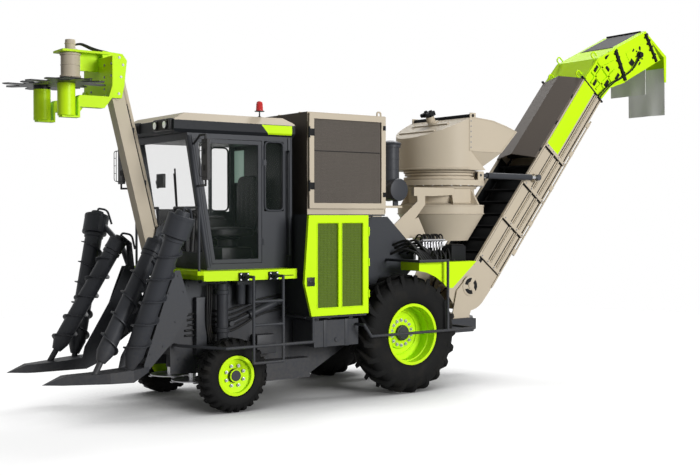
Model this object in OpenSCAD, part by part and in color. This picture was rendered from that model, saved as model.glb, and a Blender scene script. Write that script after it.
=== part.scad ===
// Wheeled sugarcane chopper harvester: topper, crop dividers, cab, engine bay,
// cooler box, extractor with swivelling hood and a slewing elevator.
// Millimetres. X forward, Y to the machine's left, Z up, ground at Z = 0.

/* [Wheels] */
// front axle to rear axle
wheelbase = 2600;            // [2500:10:2750]
// middle of the left front tyre to the right one
front_track = 1840;          // [1800:10:1860]
// middle of the left rear tyre to the right one
rear_track = 1880;           // [1860:10:1900]
// front tyre over the lugs
front_tyre_d = 880;          // [840:5:890]
// front tyre section width
front_tyre_w = 280;          // [240:5:284]
// front rim over its flanges
front_rim_d = 480;           // [440:5:520]
// rear tyre over the lugs
rear_tyre_d = 1560;          // [1480:10:1580]
// rear tyre section width
rear_tyre_w = 470;           // [420:5:480]
// rear rim over its flanges
rear_rim_d = 810;            // [760:5:840]
// steering pivot from the middle
kingpin_y = 700;             // [690:2:704]

/* [Chassis] */
// outer faces of the throat side plates from the middle
throat_half = 520;           // [500:2:526]
// thickness of the side plates
plate_t = 16;                // [10:1:24]
// top of the rear rails and the slew plate
slew_top = 860;              // [840:2:870]
// slew axis behind the rear axle
slew_back = 1450;            // [1440:5:1480]

/* [Cab] */
// half of the cab's width
cab_half = 700;              // [660:5:720]
// underside of the cab floor
cab_floor = 1690;            // [1690:1:1692]
// underside of the roof
cab_top = 3330;              // [3250:5:3400]
// foot of the front pillar ahead of the front axle
cab_foot_x = 205;            // [180:5:220]
// how far the front pillar leans forward to its top
cab_lean = 265;              // [200:5:290]
// rear wall behind the front axle
cab_back = 1000;             // [980:5:1010]
// wall thickness
cab_wall = 50;               // [40:2:60]
// roof thickness
roof_t = 240;                // [200:5:280]

/* [Body] */
// outer face of the engine doors from the middle
bay_half = 1150;             // [1140:2:1160]
// underside of the engine doors
bay_low = 1100;              // [1096:1:1120]
// top deck of the engine bay
bay_top = 2360;              // [2350:2:2380]
// cooler box ahead of the rear axle
cooler_ahead = 200;          // [200:10:290]
// cooler box half width
cooler_half = 800;           // [760:5:820]
// cooler box top
cooler_top = 3660;           // [3500:10:3720]
// guard rail tube
rail_d = 38;                 // [30:1:44]
// guard rail plane from the middle
rail_y = 1240;               // [1236:2:1270]

/* [Extractor] */
// bowl radius
bowl_r = 632;                // [600:2:650]
// fan housing radius
fan_r = 492;                 // [470:2:496]
// hood radius
hood_r = 660;                // [650:2:690]

/* [Elevator] */
// slope of the elevator
elev_deg = 51;               // [49:0.5:52]
// half width over the side plates
elev_half = 420;             // [390:2:424]
// length of the straight part from the lift pivot
elev_len = 4000;             // [3800:20:4200]
// lift pivot behind the slew axis
lift_back = 190;             // [180:2:200]
// lift pivot height
lift_z = 1320;               // [1314:1:1330]

/* [Topper] */
// arm length between its pins
topper_len = 2060;           // [1860:10:2120]
// lean of the raised arm from upright
topper_deg = 13.8;           // [12:0.2:15]
// star disc radius
star_r = 470;                // [420:5:480]

/* [Dividers] */
// tube of the outer scroll
outer_tube_d = 220;          // [190:5:230]
// tube of the inner scroll
inner_tube_d = 196;          // [170:4:200]
// height of the scroll flights
flight_h = 38;               // [24:1:40]

/* [Hidden] */
$fn = 48;
gap = 0.3;
rear_axle_x = -wheelbase;
slew_x = rear_axle_x - slew_back;
lift_x = slew_x - lift_back;
elev_cos = cos(elev_deg);
elev_sin = sin(elev_deg);
head_a = elev_len + 1637;
head_d = -465;
flap_x = lift_x - elev_cos * head_a + elev_sin * head_d;
flap_z = lift_z + elev_sin * head_a + elev_cos * head_d;
rear_end_x = flap_x - 550;
arm_low = [585, 0, 1800];
arm_up = arm_low + [topper_len * sin(topper_deg), 0, topper_len * cos(topper_deg)];
link_off = [-54, 0, 345];
link_low = arm_low + link_off;
link_up = arm_up + link_off;
head_pin = [77, 0, 50];
head_o = arm_up - head_pin;
star_x = head_o[0] + 830;
front_end_x = star_x + star_r;
front_axle_x = -(front_end_x + rear_end_x) / 2;
bay_front = -cab_back - 40;
bay_back = rear_axle_x + rear_tyre_d / 2 - 48;
bay_in = bay_half - 42 - gap;
cooler_x = -cab_back - 160;
cooler_back = rear_axle_x + cooler_ahead;
inner_half = throat_half - plate_t - gap;
elev_in = elev_half - 12 - gap;
fender_z = rear_tyre_d + 160;
rim_deep = 125;
divider_pin = [480, 0, 1080];
deck_z = cab_floor - gap;
barrel_a = [slew_x - 270, 530, 2930];
eye_a = 2060;
barrel_b = [lift_x - elev_cos * eye_a, 530, lift_z + elev_sin * eye_a];
inner_low = [1600, 700, 620];
inner_up = [820, 550, 2000];
outer_low = [1300, 800, 500];
outer_up = [800, 1220, 2350];

charcoal = [0.24, 0.25, 0.27];
lime = [0.67, 0.87, 0.06];
beige = [0.78, 0.74, 0.66];
black = [0.08, 0.08, 0.08];
steel = [0.6, 0.6, 0.62];
glass_tint = [0.6, 0.72, 0.72, 0.4];
mesh_grey = [0.39, 0.36, 0.34];
rubber_grey = [0.6, 0.6, 0.6];
red = [0.69, 0.12, 0.12];

// box between two corners
module block(lo, hi) translate(lo) cube([hi[0] - lo[0], hi[1] - lo[1], hi[2] - lo[2]]);

// plate with an outline in X and Z, from y0 to y1
module slab(points, y0, y1)
  translate([0, y1, 0]) rotate([90, 0, 0]) linear_extrude(y1 - y0) polygon(points);

// round bar along Y
module bar_y(x, z, d, y0, y1)
  translate([x, y0, z]) rotate([-90, 0, 0]) cylinder(d = d, h = y1 - y0);

// round bar between two points
module rod(a, b, d) {
  v = b - a;
  h = norm(v);
  translate(a) rotate([0, acos(v[2] / h), atan2(v[1], v[0])]) cylinder(d = d, h = h);
}

// bent tube through a list of points
module tube(points, d) {
  for (i = [0 : len(points) - 2]) rod(points[i], points[i + 1], d);
  for (i = [1 : len(points) - 2]) translate(points[i]) sphere(d = d * 1.05);
}

module both() {
  children();
  mirror([0, 1, 0]) children();
}

// places children along the line from a to b, its own Z along the line
module along(a, b) {
  v = b - a;
  translate(a) rotate([0, acos(v[2] / norm(v)), atan2(v[1], v[0])]) children();
}

// elevator frame: X up the slope, Z away from the trough's floor
module on_elevator() translate([lift_x, 0, lift_z]) rotate([0, -elev_deg, 180]) children();

// left wheel parts turn about Y, outer face to the left
module wheel_at(x, y, z) translate([x, y, z]) rotate([-90, 0, 0]) children();

module side_outline() {
  polygon([[600, 450], [620, 950], [400, 1560], [-980, 1560], [-1020, 1150],
    [rear_axle_x + 550, 1640], [rear_axle_x + 550, 2200], [rear_axle_x + 200, 2330],
    [rear_axle_x - 60, 2330], [rear_axle_x - 530, 1890], [rear_axle_x - 530, 1640],
    [rear_axle_x - 400, 1520], [rear_axle_x - 350, 660], [rear_axle_x + 600, 640],
    [bay_back + 518, 280], [-300, 280], [-100, 420]]);
}

module chassis() color(charcoal) {
  both() side_frame();
  topper_mast();
  cutter_box();
  block([-900, -inner_half, 1300], [-820, inner_half, 1540]);
  engine_mount(-1240, 1180);
  engine_mount(bay_back + 80, 1420);
  rear_frame();
}

// side plate with the front leg, the divider's pin and the low side box
module side_frame() difference() {
  union() {
    translate([0, throat_half, 0]) rotate([90, 0, 0]) linear_extrude(plate_t) side_outline();
    block([-60, throat_half - 10, 930], [60, kingpin_y - 20, 990]);
    block([-60, throat_half - 10, 1390], [60, kingpin_y - 20, 1450]);
    translate([0, kingpin_y, 640]) cylinder(d = 140, h = 880);
    bar_y(divider_pin[0], divider_pin[2], 70, throat_half - 10, throat_half + 52);
    block([-1270, throat_half - 10, 280], [-620, 700, 530]);
  }
  translate([0, kingpin_y, 600]) cylinder(d = 90 + 2 * gap, h = 320);
}

// front cross beam with the cheeks that carry the topper
module topper_mast() {
  block([330, -inner_half, 1380], [410, inner_half, 1520]);
  both() slab([[340, 1400], [430, 1400], [675, 1760], [665, 1850], [590, 2190], [550, 2225],
    [490, 2215], [465, 2140], [468, 1800]], 105, 125);
  bar_y(arm_low[0], arm_low[2], 60, -115, 115);
  bar_y(link_low[0], link_low[2], 40, -115, 115);
}

// gearbox across the throat with the two base cutter hubs
module cutter_box() {
  block([60, -inner_half, 600], [340, inner_half, 780]);
  both() translate([200, 300, 420]) cylinder(d = 120, h = 200);
}

// cross member with an upright under the engine
module engine_mount(x, z) {
  block([x, -inner_half, z - 20], [x + 80, inner_half, z + 60]);
  block([x, -400, z], [x + 80, 400, 1600 - gap]);
}

// rear rails, slew plate and tow block
module rear_frame() difference() {
  union() {
    both() block([slew_x - 200, 400, slew_top - 200], [rear_axle_x + 300, inner_half, slew_top]);
    translate([slew_x, 0, slew_top - 60]) cylinder(r = 480, h = 60);
    block([slew_x - 610, -110, slew_top - 220], [slew_x - 200, 110, slew_top - 60]);
    block([slew_x - 260, -450, slew_top - 200], [slew_x - 180, 450, slew_top - 60]);
    block([rear_axle_x - 80, -inner_half, slew_top - 180], [rear_axle_x + 80, inner_half, slew_top - 20]);
  }
  translate([slew_x, 0, slew_top - 300]) cylinder(d = 240 + 2 * gap, h = 400);
  translate([slew_x - 550, 0, slew_top - 300]) cylinder(d = 42, h = 400);
}

module rear_axle() color(charcoal) both() {
  bar_y(rear_axle_x, rear_tyre_d / 2, 300, throat_half + gap, throat_half + 110);
  bar_y(rear_axle_x, rear_tyre_d / 2, 230, throat_half + 100, rear_track / 2 - rim_deep - 70);
  bar_y(rear_axle_x, rear_tyre_d / 2, 180, throat_half + 100, rear_track / 2 - rim_deep);
}

module engine() color(charcoal) block([bay_back + 60, -380, 1600], [-1120, 380, 2300]);

// cross wall of the engine bay, open below up to notch_z between the side plates
module bulkhead(x, notch_z) difference() {
  block([x, -bay_in, bay_low - 10 + gap], [x + 20, bay_in, bay_top - 20 - gap]);
  block([x - 10, -throat_half - 10, bay_low - 20], [x + 30, throat_half + 10, notch_z]);
}
module engine_bay() color(charcoal) {
  bulkhead(bay_front - 20, 1250);
  bulkhead(bay_back, 1600);
  both() block([bay_back, throat_half + gap, bay_low - 30], [bay_front + 110, bay_in, bay_low - 10]);
  block([cooler_back, -cooler_half, bay_top - 20], [bay_front, cooler_half, bay_top]);
  both() block([bay_back, cooler_half - 10, bay_top - 20], [bay_front, bay_in, bay_top]);
}

module cooler_box() color(beige) {
  x1 = cooler_back;
  difference() {
    block([x1, -cooler_half, bay_top + gap], [cooler_x, cooler_half, cooler_top]);
    difference() {
      block([x1 + 60, -cooler_half + 30, bay_top + 60], [cooler_x - 40, cooler_half - 30, cooler_top - 60]);
      block([x1, -50, bay_top], [cooler_x, 50, cooler_top]);
    }
    both() block([x1 + 70, cooler_half - 40, bay_top + 130],
      [cooler_x - 70, cooler_half + 10, cooler_top - 70]);
  }
  // screen on the right side
  block([x1 + 68, -cooler_half + 10, bay_top + 128], [cooler_x - 68, -cooler_half + 22, cooler_top - 68]);
}

module cooler_door() color(mesh_grey) {
  x0 = cooler_x - 15;
  x1 = cooler_back + 15;
  difference() {
    block([x1, cooler_half + gap, bay_top + 75], [x0, cooler_half + 40, cooler_top - 15]);
    block([x1 + 70, cooler_half + 14, bay_top + 145], [x0 - 70, cooler_half + 50, cooler_top - 85]);
  }
  for (z = [bay_top + 240, cooler_top - 210]) translate([x0, cooler_half + 40, z])
    cylinder(d = 20, h = 90);
}

module side_tanks() color(charcoal) both() {
  block([bay_back + 88, throat_half + 40, 700], [bay_front - 60, 1050, 1030]);
  for (x = [bay_back + 138, bay_front - 170])
    block([x, throat_half + 80, 1020], [x + 60, 1000, bay_low - 30 - gap]);
}

module cab_platform() color(lime) difference() {
  union() {
    deck();
    block([-860, -500, 1560 + gap], [-780, 500, 1645]);
    block([150, -500, 1560 + gap], [230, 500, 1645]);
  }
  block([300, -150, 1500], [600, 150, 1800]);
}
module deck() {
  translate([0, 0, 1640]) linear_extrude(deck_z - 1640) polygon([[440, -900], [440, 900],
    [380, 940], [-100, 1000], [-880, 1000], [-880, -1000], [-100, -1000], [380, -940]]);
  both() translate([0, 0, 1570]) linear_extrude(90) polygon([[380, 940], [-100, 1000],
    [-880, 1000], [-880, 960], [-102, 960], [380, 900]]);
}

module guard_rails() color(charcoal) {
  both() {
    tube([[560, throat_half + gap, 800], [560, 640, 800], [250, rail_y, 800], [-960, rail_y, 800],
      [-960, rail_y, bay_low - 20], [-960, bay_in + gap, bay_low - 20]], rail_d);
    tube([[bay_back + 128, 1050 + gap, 960], [bay_back + 128, rail_y, 960],
      [bay_back + 18, rail_y, 810], [rear_axle_x - 1000, rail_y, 810],
      [rear_axle_x - 1000, inner_half + gap, 810]], rail_d);
    tube([[rear_axle_x - 528, rail_y, 810], [rear_axle_x - 528, rail_y, fender_z + 24],
      [rear_axle_x - 40, rail_y, fender_z + 24],
      [rear_axle_x - 40, throat_half + gap, fender_z + 24]], rail_d);
    tube([[405, 230, deck_z + gap], [405, 230, 2440], [405, 870, 2440], [405, 870, deck_z + gap]], 32);
    tube([[-930, cab_half + gap, 1850], [-930, cab_half + 60, 1850], [-930, cab_half + 60, 3150],
      [-930, cab_half + gap, 3150]], 28);
  }
  tube([[-120, 1000 + gap, 1620], [-120, rail_y, 1620], [-120, rail_y, 600], [-530, rail_y, 600],
    [-530, rail_y, 1620], [-530, 1000 + gap, 1620]], 36);
  for (z = [1050, 1330]) rod([-120, rail_y, z], [-530, rail_y, z], 34);
}

function pillar_x(z) = cab_foot_x + cab_lean * (z - cab_floor) / (cab_top - cab_floor);

// door opening, m inside its edge
function door_outline(m) = [[pillar_x(cab_floor + 70 + m) - 75 - m, cab_floor + 70 + m],
  [pillar_x(cab_top - 60 - m) - 75 - m, cab_top - 60 - m], [-560 + m, cab_top - 60 - m],
  [-560 + m, cab_floor + 70 + m]];
function quarter_outline(m) = [[-590 - m, 2400 + m], [-590 - m, cab_top - 60 - m],
  [125 - cab_back + m, cab_top - 60 - m], [125 - cab_back + m, 2400 + m]];

module cab_frame() color(charcoal) {
  cab_shell();
  for (z = hinge_z) block([-612, cab_half - 2, z - 34], [-572 - gap, cab_half + 20, z + 34]);
}
module cab_shell() difference() {
  slab([[cab_foot_x, cab_floor], [cab_foot_x + cab_lean, cab_top], [-cab_back, cab_top],
    [-cab_back, cab_floor]], -cab_half, cab_half);
  slab([[pillar_x(cab_floor + cab_wall) - cab_wall, cab_floor + cab_wall],
    [pillar_x(cab_top - cab_wall) - cab_wall, cab_top - cab_wall],
    [cab_wall - cab_back, cab_top - cab_wall], [cab_wall - cab_back, cab_floor + cab_wall]],
    cab_wall - cab_half, cab_half - cab_wall);
  slab(door_outline(0), -cab_half - 10, cab_half + 10);
  slab(quarter_outline(0), -cab_half - 10, cab_half + 10);
  slab([[pillar_x(1900) - 120, 1900], [pillar_x(cab_top - 80) - 120, cab_top - 80],
    [pillar_x(cab_top - 80) + 60, cab_top - 80], [pillar_x(1900) + 60, 1900]],
    70 - cab_half, cab_half - 70);
  block([-cab_back - 10, -500, 2350], [cab_wall - cab_back + 10, 500, cab_top - 100]);
}

module cab_glass() color(glass_tint) {
  slab([[pillar_x(1900 + gap) - 30, 1900 + gap], [pillar_x(cab_top - 80 - gap) - 30, cab_top - 80 - gap],
    [pillar_x(cab_top - 80 - gap) - 20, cab_top - 80 - gap], [pillar_x(1900 + gap) - 20, 1900 + gap]],
    70 - cab_half + gap, cab_half - 70 - gap);
  slab(quarter_outline(gap), cab_half - 30, cab_half - 20);
  slab(quarter_outline(gap), 20 - cab_half, 30 - cab_half);
  slab(door_outline(gap), 20 - cab_half, 30 - cab_half);
  block([20 - cab_back, -500 + gap, 2350 + gap], [30 - cab_back, 500 - gap, cab_top - 100 - gap]);
}

// the door turns on two outer knuckles behind its rear edge
hinge_z = [cab_floor + 330, cab_top - 330];
module cab_door() color(charcoal) {
  difference() {
    slab(door_outline(6), cab_half - 45, cab_half - 2);
    slab(door_outline(52), cab_half - 60, cab_half + 10);
  }
  for (z = hinge_z) {
    translate([-560, cab_half + 12 + gap, z - 40]) cylinder(d = 24, h = 80);
    block([-556, cab_half - 6, z - 40], [-500, cab_half + 12, z + 40]);
  }
}
module cab_door_glass() color(glass_tint) slab(door_outline(52 + gap), cab_half - 28, cab_half - 20);

module cab_roof() color(beige) {
  z = cab_top + gap;
  intersection() {
    slab([[620, z], [655, z + 30], [655, z + 150], [480, z + roof_t], [-900, z + roof_t],
      [-cab_back - 30, z + roof_t - 70], [-cab_back - 30, z]], -cab_half - 40, cab_half + 40);
    rotate([90, 0, 90]) translate([0, 0, -2000]) linear_extrude(4000) polygon([[-cab_half + 10, z],
      [cab_half - 10, z], [cab_half + 30, z + 40], [cab_half + 30, z + 140], [cab_half - 60, z + roof_t + 1],
      [-cab_half + 60, z + roof_t + 1], [-cab_half - 30, z + 140], [-cab_half - 30, z + 40]]);
  }
}

module roof_lamps() color(black) both() {
  block([655 + gap, 220, cab_top + 35], [690, 665, cab_top + 145]);
  for (y = [314, 571]) translate([685, y, cab_top + 90]) rotate([0, 90, 0])
    cylinder(d = 96, h = 22);
}

module beacon() color(red) {
  translate([-580, cab_half - 90, cab_top + roof_t + 2 * gap]) cylinder(d = 40, h = 90);
  translate([-580, cab_half - 90, cab_top + roof_t + 80]) cylinder(d = 96, h = 120);
}

// mirror on two arms, x and y at its middle
module mirror_at(x, y) {
  block([x - 25, y - 70, 2760], [x + 15, y + 70, 3240]);
  tube([[400, cab_half + gap, 3200], [400, cab_half + 40, 3200], [x, y - 140, 3290],
    [x, y, 3290], [x, y, 3100]], 26);
  tube([[340, cab_half + gap, 2700], [340, cab_half + 40, 2700], [x, y, 2700], [x, y, 2900]], 26);
}
module mirrors() color(black) {
  mirror_at(385, 1000);
  mirror([0, 1, 0]) mirror_at(500, 1130);
}

module cab_interior() color(black) {
  z = cab_floor + cab_wall + gap;
  block([-700, -240, z], [-250, 240, z + 350]);
  block([-740, -260, z + 340], [-180, 260, z + 460]);
  block([-860, -260, z + 400], [-720, 260, z + 1120]);
  block([-640, -480, z], [-20, -300, z + 620]);
  translate([60, 0, z]) cylinder(d = 70, h = 640);
  translate([60, 0, z + 620]) cylinder(d = 380, h = 30);
}

module extractor_bowl() color(beige) {
  translate([slew_x, 0, 0]) rotate_extrude($fn = 72) polygon([[400, 1980], [bowl_r, 2370], [bowl_r, 2490],
    [fan_r, 2530], [fan_r, 3000], [fan_r - 12, 3000], [fan_r - 12, 2524], [bowl_r - 12, 2484],
    [bowl_r - 12, 2374], [388, 1980]]);
  // clamped ring that carries the elevator's upper ring
  translate([slew_x, 0, 2780]) difference() {
    cylinder(r = 640, h = 20, $fn = 72);
    translate([0, 0, -10]) cylinder(r = fan_r + gap, h = 40, $fn = 72);
  }
  block([rear_axle_x + 40, -throat_half, 2330 + gap], [rear_axle_x + 195, throat_half, 2480]);
  both() bowl_support();
}
// shelf, bracket on the side plate and channel that holds the fan housing
module bowl_support() {
  x = rear_axle_x;
  block([x - 330, 400, 2450], [x + 100, inner_half, 2480]);
  slab([[x - 150, 2060], [x - 150, 2190], [x - 200, 2225], [x - 600, 2540], [x - 600, 2640],
    [x - 740, 2640], [x - 740, 2500], [x - 560, 2300], [x - 620, 2320], [x - 760, 2060], [x - 370, 2020]],
    inner_half - 16, inner_half);
  difference() {
    slab([[x - 540, 2620], [x - 540, 2740], [slew_x + 180, 2740], [slew_x + 180, 2640], [x - 900, 2620]],
      440, inner_half);
    translate([slew_x, 0, 2600]) cylinder(r = fan_r + gap, h = 200, $fn = 72);
  }
}

module air_cleaner() color(charcoal) {
  x = rear_axle_x - 260;
  bar_y(x, 2700, 300, 200, 500);
  translate([x, 320, 2700]) cylinder(d = 250, h = 600);
  translate([x, 320, 3290]) cylinder(d = 290, h = 40);
  block([x - 40, 428, 2480 + gap], [x + 40, 452, 2640]);
}

module valve_bank() color(black) {
  x = rear_axle_x - 500;
  z = fender_z;
  block([x - 400, 640, z + gap], [x, 800, z + 140]);
  for (i = [0 : 7]) translate([x - 375 + 50 * i, 720, z + 130]) cylinder(d = 26, h = 120);
  for (i = [0 : 7]) bar_y(x - 375 + 50 * i, z + 240, 24, 560, 730);
}

module rear_fenders() color(lime) both() {
  x = rear_axle_x;
  z = fender_z;
  slab([[x - 104, z], [x - 104, z - 110], [x - 236, z - 134], [x - 387, z - 195], [x - 517, z - 278],
    [x - 600, z - 354], [x - 694, z - 354], [x - 1126, z]], bay_half - 12, bay_half);
  block([x - 1110, 760, z - 12], [x - 104, bay_half, z]);
  block([x - 116, 760, z - 110], [x - 104, bay_half, z]);
  block([x - 940, 560, z - 12], [x - 300, 780, z]);
  block([x - 520, throat_half + gap, z - 12], [x - 380, 780, z]);
}

module engine_door() {
  x1 = bay_back - 2;
  // bar between the door's two panels
  mid = (x1 - 990) / 2;
  difference() {
    slab([[-960, 2350], [-895, 1510], [-1000, bay_low], [x1, bay_low], [x1, 2350]], bay_half - 42, bay_half);
    slab([[-1090, 2250], [-1090, 1200], [mid + 30, 1200], [mid + 30, 2250]], bay_half - 28, bay_half + 10);
    slab([[mid - 30, 2250], [mid - 30, 1200], [x1 + 90, 1200], [x1 + 90, 2250]],
      bay_half - 28, bay_half + 10);
  }
  for (z = [1300, 2080]) translate([x1, bay_half, z]) cylinder(d = 20, h = 90);
}
module engine_door_left() color(lime) engine_door();
module engine_door_right() color(lime) mirror([0, 1, 0]) engine_door();

module knuckle() {
  translate([0, kingpin_y, front_tyre_d / 2 - 60]) cylinder(d = 130, h = 640 - front_tyre_d / 2 + 60 - 1);
  translate([0, kingpin_y, front_tyre_d / 2]) cylinder(d = 90, h = 880 - front_tyre_d / 2);
  bar_y(0, front_tyre_d / 2, 80, kingpin_y, front_track / 2 + 40);
}
module knuckle_left() color(charcoal) knuckle();
module knuckle_right() color(charcoal) mirror([0, 1, 0]) knuckle();

module rim_shape(fl, w2, hub_r, bore_r, deep) {
  bo = fl - 25;
  bi = bo - 12;
  rotate_extrude($fn = 72) polygon([[bore_r, -deep - 60], [hub_r, -deep - 60], [hub_r, -deep + 20],
    [bi, -deep + 44], [bi, -w2], [fl, -w2], [fl, 14 - w2], [bo, 26 - w2], [bo, w2 - 26], [fl, w2 - 14],
    [fl, w2], [bi, w2], [bi, -deep + 60], [hub_r, -deep + 38], [hub_r, -deep + 90], [0, -deep + 90],
    [0, -deep + 60], [bore_r, -deep + 60]]);
}
module tyre_shape(r, w, fl, w2) {
  bo = fl - 25;
  h = r - fl;
  rotate_extrude($fn = 72) polygon([[bo + gap, 28 - w2], [bo + gap, w2 - 28], [fl + 2, w2 - 17],
    [fl + 0.12 * h, w / 2 - 10], [fl + 0.4 * h, w / 2], [fl + 0.72 * h, w / 2 - 4], [r - 12, w / 2 - 16],
    [r, w / 2 - 40], [r, 40 - w / 2], [r - 12, 16 - w / 2], [fl + 0.72 * h, 4 - w / 2],
    [fl + 0.4 * h, -w / 2], [fl + 0.12 * h, 10 - w / 2], [fl + 2, 17 - w2]]);
}
module front_tyre() wheel_at(0, front_track / 2, front_tyre_d / 2)
  tyre_shape(front_tyre_d / 2, front_tyre_w, front_rim_d / 2, front_tyre_w / 2 - 16);
module front_rim() wheel_at(0, front_track / 2, front_tyre_d / 2)
  rim_shape(front_rim_d / 2, front_tyre_w / 2 - 16, 78, 40 + gap, -20);
module rear_tyre() wheel_at(rear_axle_x, rear_track / 2, rear_tyre_d / 2)
  tyre_shape(rear_tyre_d / 2, rear_tyre_w, rear_rim_d / 2, rear_tyre_w / 2 - 24);
module rear_rim() wheel_at(rear_axle_x, rear_track / 2, rear_tyre_d / 2)
  rim_shape(rear_rim_d / 2, rear_tyre_w / 2 - 24, 150, 90 + gap, rim_deep);
module front_tyre_left() color(black) front_tyre();
module front_tyre_right() color(black) mirror([0, 1, 0]) front_tyre();
module front_rim_left() color(lime) front_rim();
module front_rim_right() color(lime) mirror([0, 1, 0]) front_rim();
module rear_tyre_left() color(black) rear_tyre();
module rear_tyre_right() color(black) mirror([0, 1, 0]) rear_tyre();
module rear_rim_left() color(lime) rear_rim();
module rear_rim_right() color(lime) mirror([0, 1, 0]) rear_rim();

module hood_plan(r) {
  circle(r = r, $fn = 72);
  translate([-1200, -r]) square([1200, 2 * r]);
}
// side view of the hood cut to its plan
module hood_body(points, r) intersection() {
  slab(points, -r - 20, r + 20);
  translate([0, 0, 2900]) linear_extrude(1000) hood_plan(r);
}
// slanted corner below the spout's side wall: outline in X and Z, cut by a line in Y and Z
module hood_corner(points, line) both() intersection() {
  slab(points, hood_r - 260, hood_r + 20);
  rotate([90, 0, 90]) translate([0, 0, -800]) linear_extrude(1000) polygon(concat(line,
    [[hood_r + 40, line[1][1]], [hood_r + 40, line[0][1]]]));
}
module extractor_hood() color(beige) translate([slew_x, 0, 0]) difference() {
  union() {
    difference() {
      hood_body([[hood_r + 10, 3000 + gap], [hood_r + 10, 3450], [0, 3750], [-115, 3750], [-425, 3722],
        [-685, 3655], [-916, 3580], [-597, 3252], [-290, 3000 + gap]], hood_r);
      hood_corner([[0, 3268], [-660, 3268], [-660, 2990], [-300, 2990]],
        [[hood_r, 3268], [hood_r - 187, 2990]]);
    }
    // collar round the fan housing's mouth
    translate([0, 0, 3000 + gap]) cylinder(r = fan_r + 10, h = 180, $fn = 72);
  }
  difference() {
    hood_body([[hood_r + 10, 3014], [hood_r + 10, 3438], [-2, 3738], [-116, 3738], [-423, 3710],
      [-681, 3643], [-1100, 3507], [-1100, 3352], [-700, 3352], [-288, 3014]], hood_r - 10);
    hood_corner([[18, 3284], [-680, 3284], [-680, 2980], [-290, 2980]],
      [[hood_r - 4, 3284], [hood_r - 208, 2980]]);
    translate([0, 0, 3420]) cylinder(d = 150, h = 400);
  }
  translate([0, 0, 2950]) cylinder(r = fan_r - 12, h = 230, $fn = 72);
}

module extractor_fan() color(charcoal) translate([slew_x, 0, 0]) {
  translate([0, 0, 2600]) cylinder(d = 180, h = 120);
  translate([0, 0, 2640]) cylinder(d = 70, h = 780 - gap);
  for (a = [0 : 90 : 270]) rotate([0, 0, a]) translate([60, 0, 2660]) rotate([30, 0, 0])
    translate([0, -65, -5]) cube([fan_r - 92, 130, 10]);
}

module turntable() color(beige) {
  difference() {
    union() {
      translate([slew_x, 0, slew_top + gap]) cylinder(r = 380, h = 24);
      block([slew_x - 170, -elev_half - 30, slew_top + gap], [slew_x + 170, elev_half + 30, slew_top + 24]);
      translate([slew_x, 0, slew_top - 55]) cylinder(d = 240, h = 70);
      both() slab([[slew_x + 165, slew_top + 2], [slew_x - 165, slew_top + 2], [lift_x - 140, lift_z],
        [lift_x - 70, lift_z + 120], [lift_x + 70, lift_z + 120], [lift_x + 260, lift_z - 60]],
        elev_half + 12, elev_half + 30);
    }
    bar_y(lift_x, lift_z, 80 + 2 * gap, -elev_half - 50, elev_half + 50);
  }
  difference() {
    union() {
      translate([slew_x, 0, 2800 + gap]) difference() {
        cylinder(r = 640, h = 60, $fn = 72);
        translate([0, 0, -10]) cylinder(r = fan_r + 5, h = 100, $fn = 72);
      }
      both() for (y = [478, 562]) block([barrel_a[0] - 55, y, 2850], [barrel_a[0] + 55, y + 20, 2985]);
    }
    both() bar_y(barrel_a[0], barrel_a[2], 40 + 2 * gap, 460, 600);
  }
}

module elevator_side() union() {
  rotate([90, 0, 0]) cylinder(r = 362, h = 12, $fn = 72);
  rotate([90, 0, 0]) linear_extrude(12) polygon([[-250, 343], [250, 150], [2300, 140],
    [elev_len, 140], [elev_len, -360], [200, -375], [-40, -362], [-240, -275], [-424, -43], [-340, 230]]);
}
module elevator_frame() color(beige) on_elevator() {
  both() {
    translate([0, elev_half, 0]) elevator_side();
    bar_y(0, 0, 80, elev_half - 6, elev_half + 28);
    bar_y(eye_a, 0, 120, elev_half - 6, 500);
  }
  // deck between the two strands of the chain
  rotate([0, 1.2, 0]) block([160, -elev_in, -72], [elev_len - 60, elev_in, -60]);
  // bottom of the boot
  difference() {
    rotate([90, 0, 0]) translate([0, 0, -elev_in]) difference() {
      cylinder(r = 361, h = 2 * elev_in, $fn = 72);
      translate([0, 0, -1]) cylinder(r = 351, h = 2 * elev_half, $fn = 72);
    }
    block([-600, -600, 60], [600, 600, 600]);
    block([210, -600, -600], [600, 600, 600]);
  }
  chain_shaft(chain_b);
  // cross bars under the lower strand
  for (i = [0 : 3]) bar_y(700 + i * (elev_len - 1000) / 3, -345, 40, -elev_in, elev_in);
}

// outline round a bent centre line, r away from it
function arc_pts(c, r, a0, a1, n) = [for (i = [0 : n]) let(a = a0 + (a1 - a0) * i / n)
  c + r * [cos(a), sin(a)]];
chain_in = 104;
chain_out = 120;
strand_y = 300;
strand_w = 30;
chain_b = [0, -60];
chain_k = [elev_len + 350, -150];
chain_h = [elev_len + 900, -420];
chain_1 = atan2(chain_k[1] - chain_b[1], chain_k[0] - chain_b[0]);
chain_2 = atan2(chain_h[1] - chain_k[1], chain_h[0] - chain_k[0]);
chain_mid = (chain_1 + chain_2) / 2 + 90;
chain_mitre = 1 / cos((chain_1 - chain_2) / 2);
function chain_outline(r) = concat(arc_pts(chain_b, r, chain_1 + 270, chain_1 + 90, 10),
  [chain_k + r * chain_mitre * [cos(chain_mid), sin(chain_mid)]],
  arc_pts(chain_h, r, chain_2 + 90, chain_2 - 90, 10),
  [chain_k - r * chain_mitre * [cos(chain_mid), sin(chain_mid)]]);
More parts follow.
